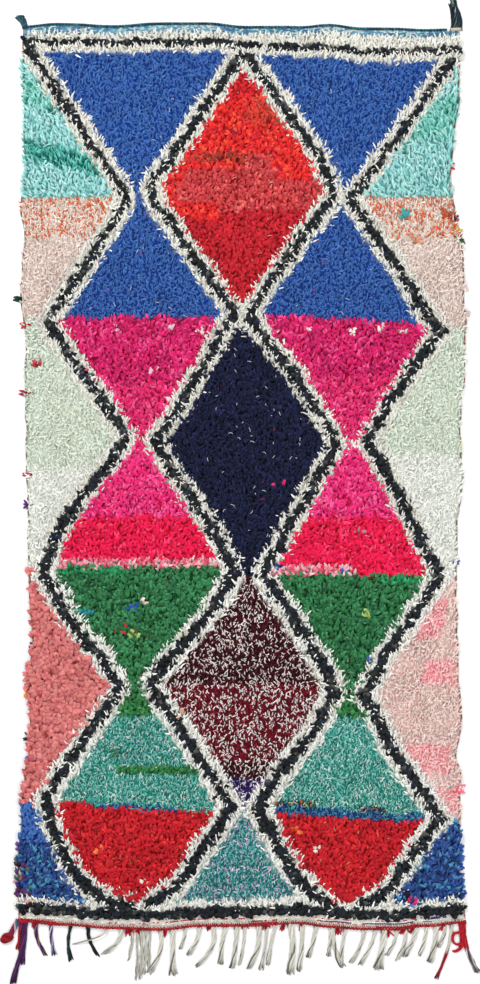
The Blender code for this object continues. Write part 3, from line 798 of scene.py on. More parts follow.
tie_patches("pile_pink", (
    Patch(1, 0.425, 0.254, magenta), Patch(3, 0.421, 0.254, magenta, slope=-0.055),
    Patch(1, 0.254, 0.095, hot_pink), Patch(3, 0.270, 0.095, hot_pink), Patch(1, 0.095, -0.111, bright_pink),
    Patch(3, 0.095, -0.111, bright_pink), Patch(1, -0.111, -0.224, red_pink),
    Patch(3, -0.111, -0.242, red_pink), Patch(1, -0.224, -0.245, pale_stripe),
    Patch(3, -0.242, -0.266, pale_stripe, -1.0, 0.05), Patch(3, -0.242, -0.266, red_pink, 0.05, 1.0),
    Patch(3, 0.093, 0.080, ivory_rags),
), LEAF, 150)


# ---- The green patches
# Bottle green cotton, brighter at the narrow necks. It is cut coarse and knotted two
# ends at a time, which lie over each other like leaves.
green = (
    Rag((52, 117, 73), 9, 0.10), Rag((64, 134, 88), 4, 0.08), Rag((40, 94, 59), 4, 0.12),
    Rag((18, 44, 32), 0.6, 0.12),
)
neck_green = (Rag((52, 122, 68), 6, 0.1), Rag((70, 138, 84), 3, 0.09), Rag((40, 98, 56), 2, 0.12))
emerald = (Rag((40, 140, 88), 5, 0.1), Rag((56, 156, 104), 2, 0.08), Rag((34, 112, 70), 2, 0.1))
tie_patches("pile_green", (
    Patch(1, -0.245, -0.583, green), Patch(3, -0.266, -0.583, green),
    Patch(1, -0.245, -0.264, emerald, -0.90, -0.15), Patch(3, -0.266, -0.286, emerald, 0.35, 0.95),
    Patch(3, -0.266, -0.276, emerald, -0.25, 0.0), Patch(1, -0.583, -0.643, neck_green),
    Patch(3, -0.583, -0.650, neck_green), Patch(1, -0.784, -0.802, neck_green, -0.25, 0.80, -0.02),
), CHIP, 160)


# ---- The teal patches
# Teal rag flecked with mint and white, and a cooler one flecked with lilac between the
# two red fields. The fields at the corded end's sides are plain mint.
SHRED = Tie(0.0047, 0.0052, 0.0031, 0.0165, 1, 0.65, 0.6, 1.05)
FEATHER = Tie(0.0066, 0.0073, 0.0058, 0.025, 1, 0.50, 0.4, 0.9, -0.35)
teal_fleck = (
    Rag((80, 172, 160), 8, 0.08), Rag((114, 194, 182), 6, 0.07), Rag((170, 212, 206), 4.4, 0.05),
    Rag((216, 226, 222), 1.4, 0.04), Rag((46, 116, 106), 1.6, 0.1), Rag((176, 172, 190), 1.4, 0.06),
)
lilac_fleck = (
    Rag((76, 169, 166), 6, 0.08), Rag((190, 176, 206), 3.0, 0.06), Rag((52, 90, 104), 1.8, 0.12),
    Rag((144, 198, 194), 3.4, 0.06), Rag((224, 220, 228), 1.3, 0.04), Rag((104, 176, 186), 2.8, 0.08),
)
rag_bag = (
    Rag((150, 112, 76), 2), Rag((206, 120, 66), 2), Rag((60, 110, 96), 3), Rag((196, 190, 164), 2),
    Rag((44, 62, 112), 3), Rag((90, 160, 150), 3),
)
mint = (
    Rag((160, 215, 212), 8, 0.05), Rag((142, 204, 201), 5, 0.06), Rag((180, 224, 221), 4, 0.05),
    Rag((66, 148, 136), 1.0, 0.1),
)
deep_mint = (Rag((70, 160, 148), 5, 0.1), Rag((108, 190, 180), 3, 0.08), Rag((38, 116, 104), 2, 0.1))
tie_patches("pile_teal", (
    Patch(1, -0.643, -0.784, teal_fleck, slope=-0.02), Patch(3, -0.650, -0.900, teal_fleck, slope=-0.056),
    Patch(3, -0.880, -0.900, rag_bag, -0.85, -0.35, -0.056),
    Patch(3, -0.884, -0.900, rag_bag, 0.15, 0.45, -0.056),
    Patch(1, -0.889, -0.902, teal_fleck, 0.45, 1.0, -0.05),
    Patch(1, -0.784, -0.802, teal_fleck, -1.0, -0.25, -0.02),
    Patch(1, -0.784, -0.802, teal_fleck, 0.80, 1.0, -0.02), Patch(1, -0.802, -0.870, teal_fleck, slope=-0.02),
    Patch(1, -0.850, -0.889, teal_fleck, slope=-0.05), Patch(2, -0.899, -1.30, lilac_fleck),
), SHRED, 170)
mint_shade = (
    Rag((130, 202, 190), 6, 0.06), Rag((108, 186, 172), 4, 0.08), Rag((158, 214, 207), 4, 0.06),
    Rag((56, 134, 120), 1.8, 0.1),
)
tie_patches("pile_mint", (
    Patch(0, 1.30, 0.753, mint), Patch(4, 1.30, 0.753, mint), Patch(0, 1.160, 1.100, mint_shade),
    Patch(0, 1.065, 0.985, mint_shade, -1.0, 0.4, -0.3), Patch(4, 1.020, 0.905, mint_shade),
    Patch(0, 0.884, 0.828, deep_mint, slope=-0.3),
), FEATHER, 175)


# ---- The navy patch
# The middle of the rug is a navy diamond of soft jersey with a few white threads, cut
# and knotted like the pink on either side of it.
navy = (
    Rag((27, 33, 64), 9, 0.14), Rag((21, 26, 52), 6, 0.14), Rag((36, 43, 78), 2.5, 0.12),
    Rag((200, 200, 205), 0.12, 0.1),
)
tie_patches("pile_navy", (Patch(2, 0.432, -0.267, navy),), LEAF, 180)


# ---- The flecked patch
# Maroon, then crimson, printed cotton. It is torn so fine, and knotted so close, that
# its white ground shows as flecks.
maroon_fleck = (
    Rag((88, 20, 36), 10, 0.12), Rag((62, 14, 28), 4, 0.12), Rag((236, 226, 220), 7.0, 0.04),
    Rag((128, 32, 52), 1.5, 0.1),
)
crimson_fleck = (
    Rag((140, 26, 50), 8, 0.12), Rag((98, 16, 36), 5, 0.12), Rag((238, 230, 228), 7.8, 0.04),
    Rag((190, 88, 106), 1.2, 0.1),
)
dark_fleck = (Rag((84, 20, 36), 10, 0.12), Rag((230, 218, 214), 5.7, 0.04), Rag((58, 14, 26), 6, 0.12))
purple_fleck = (
    Rag((84, 46, 128), 6, 0.12), Rag((40, 36, 82), 4, 0.12), Rag((222, 214, 228), 6, 0.05),
    Rag((146, 112, 176), 2, 0.08),
)
tie_patches("pile_flecked", (
    Patch(2, -0.267, -0.468, maroon_fleck), Patch(2, -0.468, -0.560, dark_fleck),
    Patch(2, -0.560, -0.770, crimson_fleck), Patch(2, -0.770, -0.813, maroon_fleck),
    Patch(2, -0.813, -0.899, purple_fleck),
), SHRED, 190)


# ---- The pale side patches
# Orange and white flecks over pale pink, mint-grey and off-white. All of it is fine
# soft rag, knotted one end at a time and close enough to stand like felt.
orange_fleck = (
    Rag((228, 112, 62), 6.3, 0.1), Rag((242, 235, 226), 6.4, 0.03), Rag((208, 98, 54), 2.7, 0.12),
    Rag((240, 200, 176), 3, 0.06),
)
shell = (
    Rag((231, 215, 207), 8, 0.02), Rag((237, 222, 214), 5, 0.02), Rag((223, 202, 193), 3, 0.03),
    Rag((216, 168, 165), 0.5, 0.06), Rag((160, 134, 124), 0.3, 0.1),
)
sage = (
    Rag((222, 230, 216), 8, 0.02), Rag((214, 224, 210), 5, 0.03), Rag((227, 233, 221), 4, 0.02),
    Rag((222, 220, 192), 1.2, 0.04), Rag((150, 152, 134), 0.4, 0.1),
)
chalk = (
    Rag((238, 240, 233), 8, 0.02), Rag((243, 244, 238), 5, 0.02), Rag((228, 231, 222), 3.5, 0.03),
    Rag((156, 154, 144), 0.4, 0.1),
)
tie_patches("pile_orange_fleck", (
    Patch(0, 0.753, 0.645, orange_fleck), Patch(4, 0.753, 0.645, orange_fleck),
), SHRED, 195)
tie_patches("pile_pale", (
    Patch(0, 0.645, 0.424, shell), Patch(4, 0.645, 0.401, shell), Patch(0, 0.424, 0.024, sage),
    Patch(4, 0.401, 0.059, sage), Patch(0, 0.024, -0.250, chalk), Patch(4, 0.059, -0.273, chalk),
), FELT, 200)


# ---- The rosy side patches
# Salmon cotton at the left, in coarse rag like scales, and at the right a fine pale pink
# with brighter patches where another cloth was used up.
PETAL = Tie(0.0096, 0.0100, 0.0120, 0.023, 2, 0.75, 0.75, 0.85)
salmon = (Rag((204, 116, 115), 9, 0.08), Rag((214, 130, 127), 4, 0.06), Rag((188, 98, 100), 3, 0.09))
blush = (
    Rag((236, 213, 206), 8, 0.03), Rag((240, 221, 213), 4, 0.03), Rag((242, 198, 196), 2.4, 0.04),
    Rag((220, 198, 186), 2, 0.04), Rag((176, 146, 134), 0.4, 0.1), Rag((160, 176, 170), 0.3, 0.08),
)
tie_patches("pile_salmon", (Patch(0, -0.250, -0.880, salmon),), PETAL, 210)
blush_pink = (Rag((252, 186, 190), 7, 0.04), Rag((246, 204, 200), 4, 0.04), Rag((240, 164, 172), 1.4, 0.06))
tie_patches("pile_blush", (
    Patch(4, -0.273, -0.934, blush), Patch(4, -0.330, -0.440, blush_pink, -0.55, 0.45),
    Patch(4, -0.500, -0.560, blush_pink, 0.1, 0.9), Patch(4, -0.725, -0.800, blush_pink, -0.6, 0.75),
    Patch(4, -0.845, -0.905, blush_pink, -0.8, 0.9),
), FELT, 220)


# ---- The pile's foot
# Under the loose ends the knots themselves pack into a lumpy mat, row on row, as deep
# as a finger is thick. It shows only in the gaps where the pile parts.
MAT_CELLS = (96, 192)
MAT_HIGH = 0.0092
MAT_RIM = 0.0070          # the mat's height at its rim
MAT_INSET = 0.004         # how far it keeps from the cloth's sides
MAT_UP = 0.0003           # how far its underside is from the cloth


def main_rag(rags):
    """The dye that most of a mix of rags has."""
    return dye(*max(rags, key=lambda rag: rag.share).colour)


def knot_colour(x, y):
    """The colour that the knots have at points of the rug, with no rag picked out."""
    number = in_patches(tied)(x, y)
    shades = np.array([main_rag(patch.rags) for patch in tied] + [main_rag(ivory_rags)])
    colours = shades[number]
    colours[from_lines(x, y) < BLACK_HALF] = main_rag(black_rags)
    return colours


share_x, share_y = np.meshgrid(np.linspace(0, 1, MAT_CELLS[0] + 1), np.linspace(0, 1, MAT_CELLS[1] + 1))
mat_x, mat_y = (part.ravel() for part in cloth_point(share_x, share_y, MAT_INSET, BARE_FRINGED, BARE_CORDED))
on_rim = ((share_x == 0) | (share_x == 1) | (share_y == 0) | (share_y == 1)).ravel()
lumps = 0.0022 * drift(mat_x, mat_y, 0.022, 41) + 0.001 * drift(mat_x, mat_y, 0.011, 42)
mat_z = np.where(on_rim, MAT_RIM, MAT_HIGH + lumps)
count = len(mat_x)
points = np.concatenate((points_at(mat_x, mat_y, mat_z), points_at(mat_x, mat_y, CLOTH_THICK + MAT_UP)))
faces = np.concatenate((sheet_faces(*MAT_CELLS), rim_faces(*MAT_CELLS)[:, ::-1]))
# the foot of the pile lies in the shade of the ends, so its colours are deeper
mat_colours = 0.85 * knot_colour(mat_x, mat_y + LEAN / 2) ** 1.5
# its reach of 0.6 makes the rag finish add a little painted shade to its top
mat = make_mesh("pile_mat", points, faces, np.tile(mat_colours, (2, 1)),
                extras=(("reach", np.repeat((0.6, 0.0), count)),))
hang(mat, rag_finish, "rag_pile", "rag_pile")

# the knots' loops show as flecks of the same dyes on the cloth's back
seen = np.clip(knot_colour(cloth_x, cloth_y), 0, 0.9)
cloth_colours = np.ones((2 * cloth_count, 4), np.float32)
cloth_colours[:, :3] = np.concatenate((np.tile(WOOL, (cloth_count, 1)), seen))
cloth.data.color_attributes["rag_colour"].data.foreach_set("color", cloth_colours.ravel())
piled = (cloth_y > end_edge(-1, cloth_x) + BARE_FRINGED) & (cloth_y < end_edge(1, cloth_x) - BARE_CORDED)
cloth.data.attributes["knotted"].data.foreach_set(
    "value", np.concatenate((np.zeros(cloth_count), piled)).astype(np.float32))


# ---- Odd tufts and threads
# Here and there one knot was tied of another rag, and threads drawn out of the torn
# rags lie loose on the pile.
TUFTS = (
    # across, along, how many ends, dye
    (-0.289, -0.350, 6, (40, 84, 168)), (-0.413, -0.367, 9, (48, 142, 150)),
    (-0.281, -0.429, 7, (176, 196, 112)), (0.346, -0.375, 7, (170, 190, 110)),
    (0.351, -0.492, 4, (60, 96, 170)), (-0.303, -0.419, 2, (190, 48, 50)), (-0.265, -0.338, 3, (214, 206, 180)),
    (-0.155, -0.425, 3, (206, 200, 180)), (0.445, 0.705, 16, (70, 160, 160)), (0.556, 0.702, 14, (182, 92, 66)),
    (0.470, 0.640, 8, (206, 148, 120)), (-0.345, -0.745, 6, (60, 110, 84)), (-0.330, -1.124, 7, (186, 30, 42)),
    (-0.316, -1.134, 9, (180, 28, 40)), (-0.299, -1.142, 10, (188, 32, 44)), (-0.281, -1.138, 9, (182, 28, 40)),
    (-0.266, -1.126, 7, (176, 28, 38)), (0.258, -1.126, 7, (180, 28, 40)), (0.270, -1.134, 9, (186, 30, 42)),
    (0.286, -1.142, 10, (182, 28, 40)), (0.303, -1.140, 9, (188, 32, 44)), (0.318, -1.128, 7, (178, 28, 38)),
    (-0.100, 0.395, 5, (226, 216, 208)), (-0.190, 0.400, 4, (224, 200, 206)),
    (-0.040, 0.395, 4, (222, 214, 206)), (-0.330, 0.398, 5, (232, 190, 204)),
    (0.180, 0.395, 4, (228, 208, 210)), (0.300, 0.392, 6, (226, 214, 208)), (0.385, 0.396, 7, (230, 218, 212)),
    (0.440, 0.390, 6, (224, 210, 204)), (-0.235, 0.285, 5, (232, 190, 204)), (0.215, 0.150, 4, (222, 214, 206)),
    (-0.185, 0.195, 5, (226, 206, 206)), (0.452, -1.130, 8, (26, 28, 40)), (0.463, -1.143, 5, (196, 44, 110)),
    (-0.075, -0.150, 3, (210, 210, 214)), (0.102, -0.004, 1, (206, 44, 100)),
    (0.116, -0.024, 1, (206, 44, 100)), (0.112, -0.250, 4, (44, 74, 150)), (0.280, -0.258, 4, (52, 80, 160)),
    (0.320, -0.150, 4, (150, 140, 150)), (-0.400, -0.880, 8, (70, 160, 150)),
    (-0.150, -0.640, 5, (206, 170, 150)), (-0.560, -0.300, 4, (190, 90, 96)), (-0.545, 0.300, 4, (170, 60, 70)),
    (0.205, -1.010, 3, (226, 214, 206)), (0.150, -0.950, 4, (226, 110, 60)),
    (-0.380, -1.010, 4, (224, 118, 70)), (-0.255, -1.090, 3, (228, 214, 204)),
    (-0.565, -1.155, 4, (236, 140, 156)),
)
across, along, _, shade = (
    np.repeat(np.array(part), [tuft[2] for tuft in TUFTS], axis=0) for part in zip(*TUFTS))
luck = np.random.default_rng(230)
across, along = across + luck.normal(0, 0.004, len(across)), along - LEAN + luck.normal(0, 0.004, len(along))
shade = np.clip(uneven(dye(*shade.T).T, 0.1, luck), 0, 1)
tuft_tie = PETAL._replace(ends=1, long=0.024, stand=1.05, wide=0.0095)
hang(rag_strips("pile_odd_tufts", across, along, shade, tuft_tie, 231), rag_finish, "rag_pile", "rag_pile")

THREADS_LOW = 0.0195      # how high a thread's ends lie
THREADS = (
    # column, from, to, how many, dye
    (1, 0.42, 0.75, 10, (222, 214, 210)), (3, 0.42, 0.75, 8, (222, 214, 210)),
    (1, 0.42, 0.72, 5, (206, 50, 120)), (3, 0.42, 0.72, 4, (206, 50, 120)), (1, 0.80, 1.10, 5, (214, 214, 220)),
    (3, 0.80, 1.10, 5, (214, 214, 220)), (2, -0.20, 0.40, 44, (222, 222, 226)),
    (2, -0.10, 0.30, 4, (206, 50, 100)), (1, -0.55, -0.27, 6, (190, 60, 50)),
    (3, -0.55, -0.27, 6, (206, 190, 160)), (1, -1.08, -0.93, 8, (226, 130, 90)),
    (3, -1.08, -0.93, 8, (220, 190, 150)), (2, 0.50, 1.05, 10, (236, 190, 170)),
    (0, -0.85, -0.30, 5, (150, 50, 60)), (3, -0.24, -0.05, 8, (240, 190, 200)),
    (0, 0.05, 0.40, 14, (150, 150, 120)), (4, 0.05, 0.40, 14, (170, 160, 110)),
    (0, 0.43, 0.63, 10, (180, 110, 104)), (4, 0.43, 0.63, 8, (180, 110, 104)),
    (4, -0.90, -0.30, 14, (130, 150, 150)), (0, -0.25, 0.0, 6, (140, 140, 130)),
    (4, -0.25, 0.0, 8, (140, 140, 130)), (2, -1.13, -0.95, 8, (226, 206, 226)),
)


def yarns(name, spines, thick, colours, sides=5, axis=(0.0, 0.0, 1.0)):
    """Round yarns along spines, one to a row of the arrays, each with a cell in the map."""
    count, stations = spines.shape[:2]
    ways = np.gradient(spines, axis=1)
    ways /= np.linalg.norm(ways, axis=2, keepdims=True) + 1e-9
    side = np.cross(ways, axis)
    side /= np.linalg.norm(side, axis=2, keepdims=True) + 1e-9
    up = np.cross(side, ways)
    thick = np.broadcast_to(np.asarray(thick, float), (count, stations)).copy()
    turn = np.linspace(0, 2 * np.pi, sides + 1)[:, None]
    points = spines[:, :, None] + thick[..., None, None] * (
        side[:, :, None] * np.cos(turn) + up[:, :, None] * np.sin(turn))
    points[..., 2] = np.maximum(points[..., 2], 0.0002)
    wide, each = sides + 1, (sides + 1) * stations
    first = (np.arange(stations - 1)[:, None] * wide + np.arange(sides)).ravel()
    cells = np.stack((first, first + 1, first + wide + 1, first + wide), 1)
    faces = (np.arange(count)[:, None, None] * each + cells).reshape(-1, 4)
    colours = np.asarray(colours, float)
    if colours.ndim < 3:
        colours = np.broadcast_to(colours.reshape(-1, 1, 3), (count, stations, 3))
    run = np.linalg.norm(np.diff(spines, axis=1, prepend=spines[:, :1]), axis=2).cumsum(1)
    square = int(np.ceil(np.sqrt(count)))
    corner = np.stack((np.arange(count) % square, np.arange(count) // square), 1)
    local = np.stack(np.meshgrid(np.linspace(0.1, 0.9, wide), np.linspace(0.05, 0.95, stations)), 2)
    uv = (corner[:, None, None] + local) / square
    return make_mesh(name, points.reshape(-1, 3), faces, np.repeat(colours, wide, axis=1).reshape(-1, 3),
                     uv=uv.reshape(-1, 2), extras=(
                         ("along", np.repeat(run, wide, axis=1).ravel()),
                         ("round", np.tile(turn.ravel(), count * stations)),
                         ("reach", np.tile(np.repeat(np.linspace(0, 1, stations), wide), count))))


def yarn_cloth(name, ply, rough=0.9):
    """The finish of spun yarn: slanting plies, with fibres that stand off them."""
    board = Board(name, rough)
    where = board.place()
    strand = (board.mark("along") * (2 * math.pi / ply) + board.mark("round")).maths("SINE")
    fibre = board.noise(1500.0, 2.0, 0.6, where)
    soil = board.noise(60.0, 3.0, 0.6, where)
    # painted shade: the yarn is darker in the grooves between its plies
    shade = strand.fit(-1, 1, 0.70, 1.05) * fibre.fit(0.3, 0.7, 0.88, 1.06) * soil.fit(0.3, 0.75, 1.04, 0.86)
    return board.finish(board.mix(1.0, board.tint(), board.grey(shade), "MULTIPLY"),
                        fibre.fit(0.2, 0.8, rough - 0.05, rough + 0.05), strand + fibre * 0.6, 0.6, 0.0008)


column, low, high, _, shade = (
    np.repeat(np.array(part), [row[3] for row in THREADS], axis=0) for part in zip(*THREADS))
y = luck.uniform(low, high)
walls = walls_at(y)
left, right = np.choose(column, walls[:5]), np.choose(column, walls[1:])
x = left + (right - left) * luck.uniform(0.2, 0.8, len(y))
turn = luck.uniform(-1.2, 1.2, len(y)) + np.linspace(0, 1, 9)[:, None] * luck.normal(0, 1.3, len(y))
step = luck.uniform(0.0005, 0.0016, len(y))
loose = points_at(
    (x + np.cumsum(np.sin(turn) * step, 0)).T, (y + np.cumsum(np.cos(turn) * step, 0)).T,
    THREADS_LOW + 0.0030 * np.sin(np.linspace(0, np.pi, 9)) * luck.uniform(0.3, 1.0, (len(y), 1)))
yarn_finish = yarn_cloth("spun_yarn", 0.0035)
hang(yarns("pile_threads", loose, 0.0007, dye(*shade.T).T, 4), yarn_finish, "rag_pile", "rag_pile")


# ---- Stray rag ends at the sides
# Where a rag was longer than the pile its end hangs over the cloth's edge on the floor.
# Each has a dye of its own.
SIDE_ENDS = (
    # side, along the rug, how far out, width, dye
    (-1, 0.473, 0.026, 0.011, (24, 58, 46)), (-1, 0.405, 0.012, 0.008, (190, 40, 44)),
    (-1, 0.219, 0.020, 0.007, (150, 36, 48)), (-1, 0.001, 0.012, 0.007, (184, 40, 104)),
    (-1, -0.086, 0.013, 0.008, (92, 48, 116)), (-1, -0.463, 0.010, 0.008, (62, 36, 62)),
    (-1, -0.522, 0.013, 0.007, (150, 136, 184)), (-1, -0.540, 0.018, 0.012, (206, 120, 114)),
    (-1, -0.601, 0.018, 0.010, (222, 140, 52)), (-1, -0.713, 0.020, 0.007, (56, 44, 40)),
    (-1, -0.768, 0.013, 0.008, (86, 118, 176)), (-1, -1.005, 0.010, 0.010, (116, 72, 140)),
    (-1, -1.045, 0.012, 0.010, (60, 110, 84)), (-1, -1.090, 0.014, 0.011, (206, 160, 176)),
    (-1, -1.125, 0.012, 0.010, (94, 52, 122)), (-1, -1.160, 0.013, 0.011, (222, 218, 206)),
    (1, -1.010, 0.011, 0.013, (50, 84, 156)), (1, -1.035, 0.013, 0.013, (60, 100, 168)),
    (1, -1.060, 0.013, 0.013, (44, 74, 144)), (1, -1.085, 0.014, 0.013, (52, 88, 158)),
    (1, -1.110, 0.013, 0.013, (66, 118, 176)), (1, -1.135, 0.012, 0.012, (44, 72, 140)),
    (1, -0.985, 0.009, 0.012, (56, 90, 160)), (1, -1.160, 0.012, 0.012, (216, 214, 206)),
    (1, 0.830, 0.009, 0.007, (196, 60, 60)), (1, 0.770, 0.008, 0.007, (206, 200, 190)),
    (1, 0.690, 0.010, 0.008, (36, 44, 84)), (1, 0.660, 0.009, 0.007, (206, 178, 60)),
    (1, 0.635, 0.010, 0.008, (48, 104, 62)), (1, 0.505, 0.013, 0.014, (206, 190, 184)),
    (1, 0.430, 0.014, 0.010, (196, 176, 168)), (1, -0.240, 0.009, 0.008, (60, 84, 160)),
    (1, -0.850, 0.014, 0.010, (230, 120, 140)), (1, -1.060, 0.010, 0.010, (66, 96, 170)),
)


side, along, out, wide, shade = (np.repeat(np.array(column), 3, axis=0) for column in zip(*SIDE_ENDS))
luck = np.random.default_rng(300)
along = along + luck.normal(0, 0.004, len(along))
out = out * luck.uniform(0.55, 1.0, len(out))
edge = np.where(side < 0, side_edge(-1, along), side_edge(1, along))
steps = np.array((-0.022, -0.004, 0.55, 1.0))
spine = points_at(
    edge[:, None] + side[:, None] * np.where(steps < 0, steps, steps * out[:, None]),
    along[:, None] + luck.normal(0, 0.006, len(side))[:, None] * np.array((0, 0.3, 1.0, 1.4)),
    (0.012, 0.011, 0.0045, 0.0015))
hang(ribbons("pile_side_ends", spine, headings(spine), wide * 0.8, dye(*shade.T).T * 1.2, luck),
     rag_finish, "rag_pile", "rag_pile")


# ---- The selvedges
# Each long side ends in two warps bound over with whatever weft was in hand, so that
# its colour changes every few rows, mostly in browns.
SELVEDGE = ((158, 142, 124), (134, 118, 104), (182, 168, 150), (124, 110, 102), (204, 194, 178),
            (170, 108, 100), (136, 140, 130))


def bind_selvedges():
    """Spines, thicknesses and colours of both selvedges, in short runs for the map."""
    luck = np.random.default_rng(340)
    along = np.linspace(-1.195, 1.19, 321)
    runs = np.arange(0, 320, 16)[:, None] + np.arange(17)
    spines, thick, colours = [], [], []
    for side in (-1, 1):
        x = side_edge(side, along)
        x = x - side * (0.0022 - 0.0006 * drift(x, along, 0.05, 341 + side))
        spines.append(points_at(x, along, 0.0030)[runs])
        thick.append((0.0022 * (1 + 0.18 * luck.normal(0, 1, len(x)).clip(-2, 2)))[runs])
        bound = picked(SELVEDGE, 0.5 + 0.6 * drift(x * 0 + 0.4 * side, along, 0.03, 343))
        colours.append(uneven(bound, 0.15, luck)[runs])
    return np.concatenate(spines), np.concatenate(thick), np.clip(np.concatenate(colours), 0, 1)


spines, girth, colours = bind_selvedges()
hang(yarns("selvedges", spines, girth, colours, 6), yarn_finish, "woven_cloth", "ground_weave")


# ---- The twined cords
# Two plies of rag yarn twined along each end to bind the weave: dark teal by the blue
# band, and red, stitched over in white, by the fringe.
TOP_CORD_SPAN = (-0.573, 0.558)
CORD_THICK = 0.008
CORD_SEAT = 0.0033        # the red cord lies on the cloth's edge


def twined(span, end, out, low, thick, broad, dyes, every, seed):
    """Two plies twined into a cord along an end of the cloth, cut in runs for the map."""
    luck = np.random.default_rng(seed)
    run, step = 16, every / 8
    x = np.arange(span[0], span[1], step)
    x = x[: (len(x) - 1) // run * run + 1]
    x = span[0] + (x - span[0]) * (span[1] - span[0]) / (x[-1] - span[0])
    runs = np.arange(0, len(x) - 1, run)[:, None] + np.arange(run + 1)
    swell = 1 + 0.13 * drift(x, x * 0, 0.045, seed)
    spines, colours = [], []
    for ply in range(2):
        turn = 2 * np.pi * np.arange(len(x)) / 8 + np.pi * ply
        aside = broad * 0.23 * thick * swell * np.cos(turn) + 0.0012 * drift(x, x * 0, 0.06, seed + 1)
        height = low + thick / 2 + 0.23 * thick * np.sin(turn)
        spines.append(points_at(x, end_edge(end, x) + end * out + aside, height)[runs])
        mixed = picked(dyes, 0.5 + 0.62 * drift(x, x * 0 + 0.3 * ply, 0.035, seed + 2))
        colours.append(uneven(mixed, 0.10, luck)[runs])
    return np.concatenate(spines), np.tile((0.27 * thick * swell)[runs], (2, 1)), np.concatenate(colours)


spines, girth, colours = twined(
    TOP_CORD_SPAN, 1, 0.0003 + CORD_THICK / 2, 0.0, CORD_THICK, 1.2,
    ((26, 76, 88), (34, 94, 104), (24, 62, 84), (60, 118, 128), (40, 66, 96)), 0.017, 310)
hang(yarns("top_cord", spines, girth, colours, 6), yarn_finish, "teal_cord", "top_edge_cord")
cord_from, cord_to = (side_edge(side, -CORNER_AT) for side in (-1, 1))
spines, girth, colours = twined(
    (cord_from, cord_to), -1, 0.0, CORD_SEAT, CORD_THICK * 1.1, 1.9,
    ((182, 28, 40), (164, 22, 34), (196, 38, 46), (146, 20, 30)), 0.018, 320)
hang(yarns("bottom_cord", spines, girth, colours, 6), yarn_finish, "red_cord", "bottom_edge_cord")

# Short white overcast stitches bind the red cord to the cloth, and red ends hang off it.
luck = np.random.default_rng(330)
x = np.arange(cord_from + 0.05, cord_to - 0.01, 0.0052)
x = x + luck.normal(0, 0.0006, len(x))
spine = points_at(
    x[:, None] + 0.0012 * np.arange(4),
    end_edge(-1, x)[:, None] + (0.0100, 0.0070, 0.0045, 0.0022),
    (0.0042, 0.0074, 0.0112, 0.0116))
white = uneven(np.tile(dye(232, 222, 210), (len(x), 1)), 0.08, luck)
white[drift(x, x * 0, 0.12, 331) < -0.15] = dye(186, 40, 50)
stitch = yarns("bottom_cord_stitches", spine, 0.0010 * luck.uniform(0.7, 1.2, (len(x), 1)), white, 5)
hang(stitch, yarn_finish, "red_cord", "bottom_edge_cord")

RED_TUFTS = (-0.556, -0.302, -0.290, -0.278, -0.196, -0.112, -0.086, -0.040, 0.012, 0.066, 0.074,
             0.121, 0.166, 0.262, 0.268, 0.397, 0.440, 0.470, 0.547)
x = np.repeat(RED_TUFTS, 5) + luck.normal(0, 0.004, 5 * len(RED_TUFTS))
out = np.repeat(luck.uniform(0.008, 0.022, len(RED_TUFTS)), 5) * luck.uniform(0.6, 1.1, len(x))
spine = points_at(
    x[:, None] + (luck.normal(-0.10, 0.35, len(x)) * out)[:, None] * np.array((0, 0.3, 0.7, 1.0)),
    end_edge(-1, x)[:, None] - np.array((-0.003, 0.35, 0.7, 1.0)) * out[:, None] - 0.003,
    (0.0095, 0.0065, 0.0032, 0.0012))
red = np.clip(uneven(np.tile(dye(176, 27, 42), (len(x), 1)), 0.15, luck), 0, 1)
hang(ribbons("bottom_cord_tufts", spine, headings(spine), np.full(len(x), 0.0042), red, luck),
     rag_finish, "red_cord", "bottom_edge_cord")


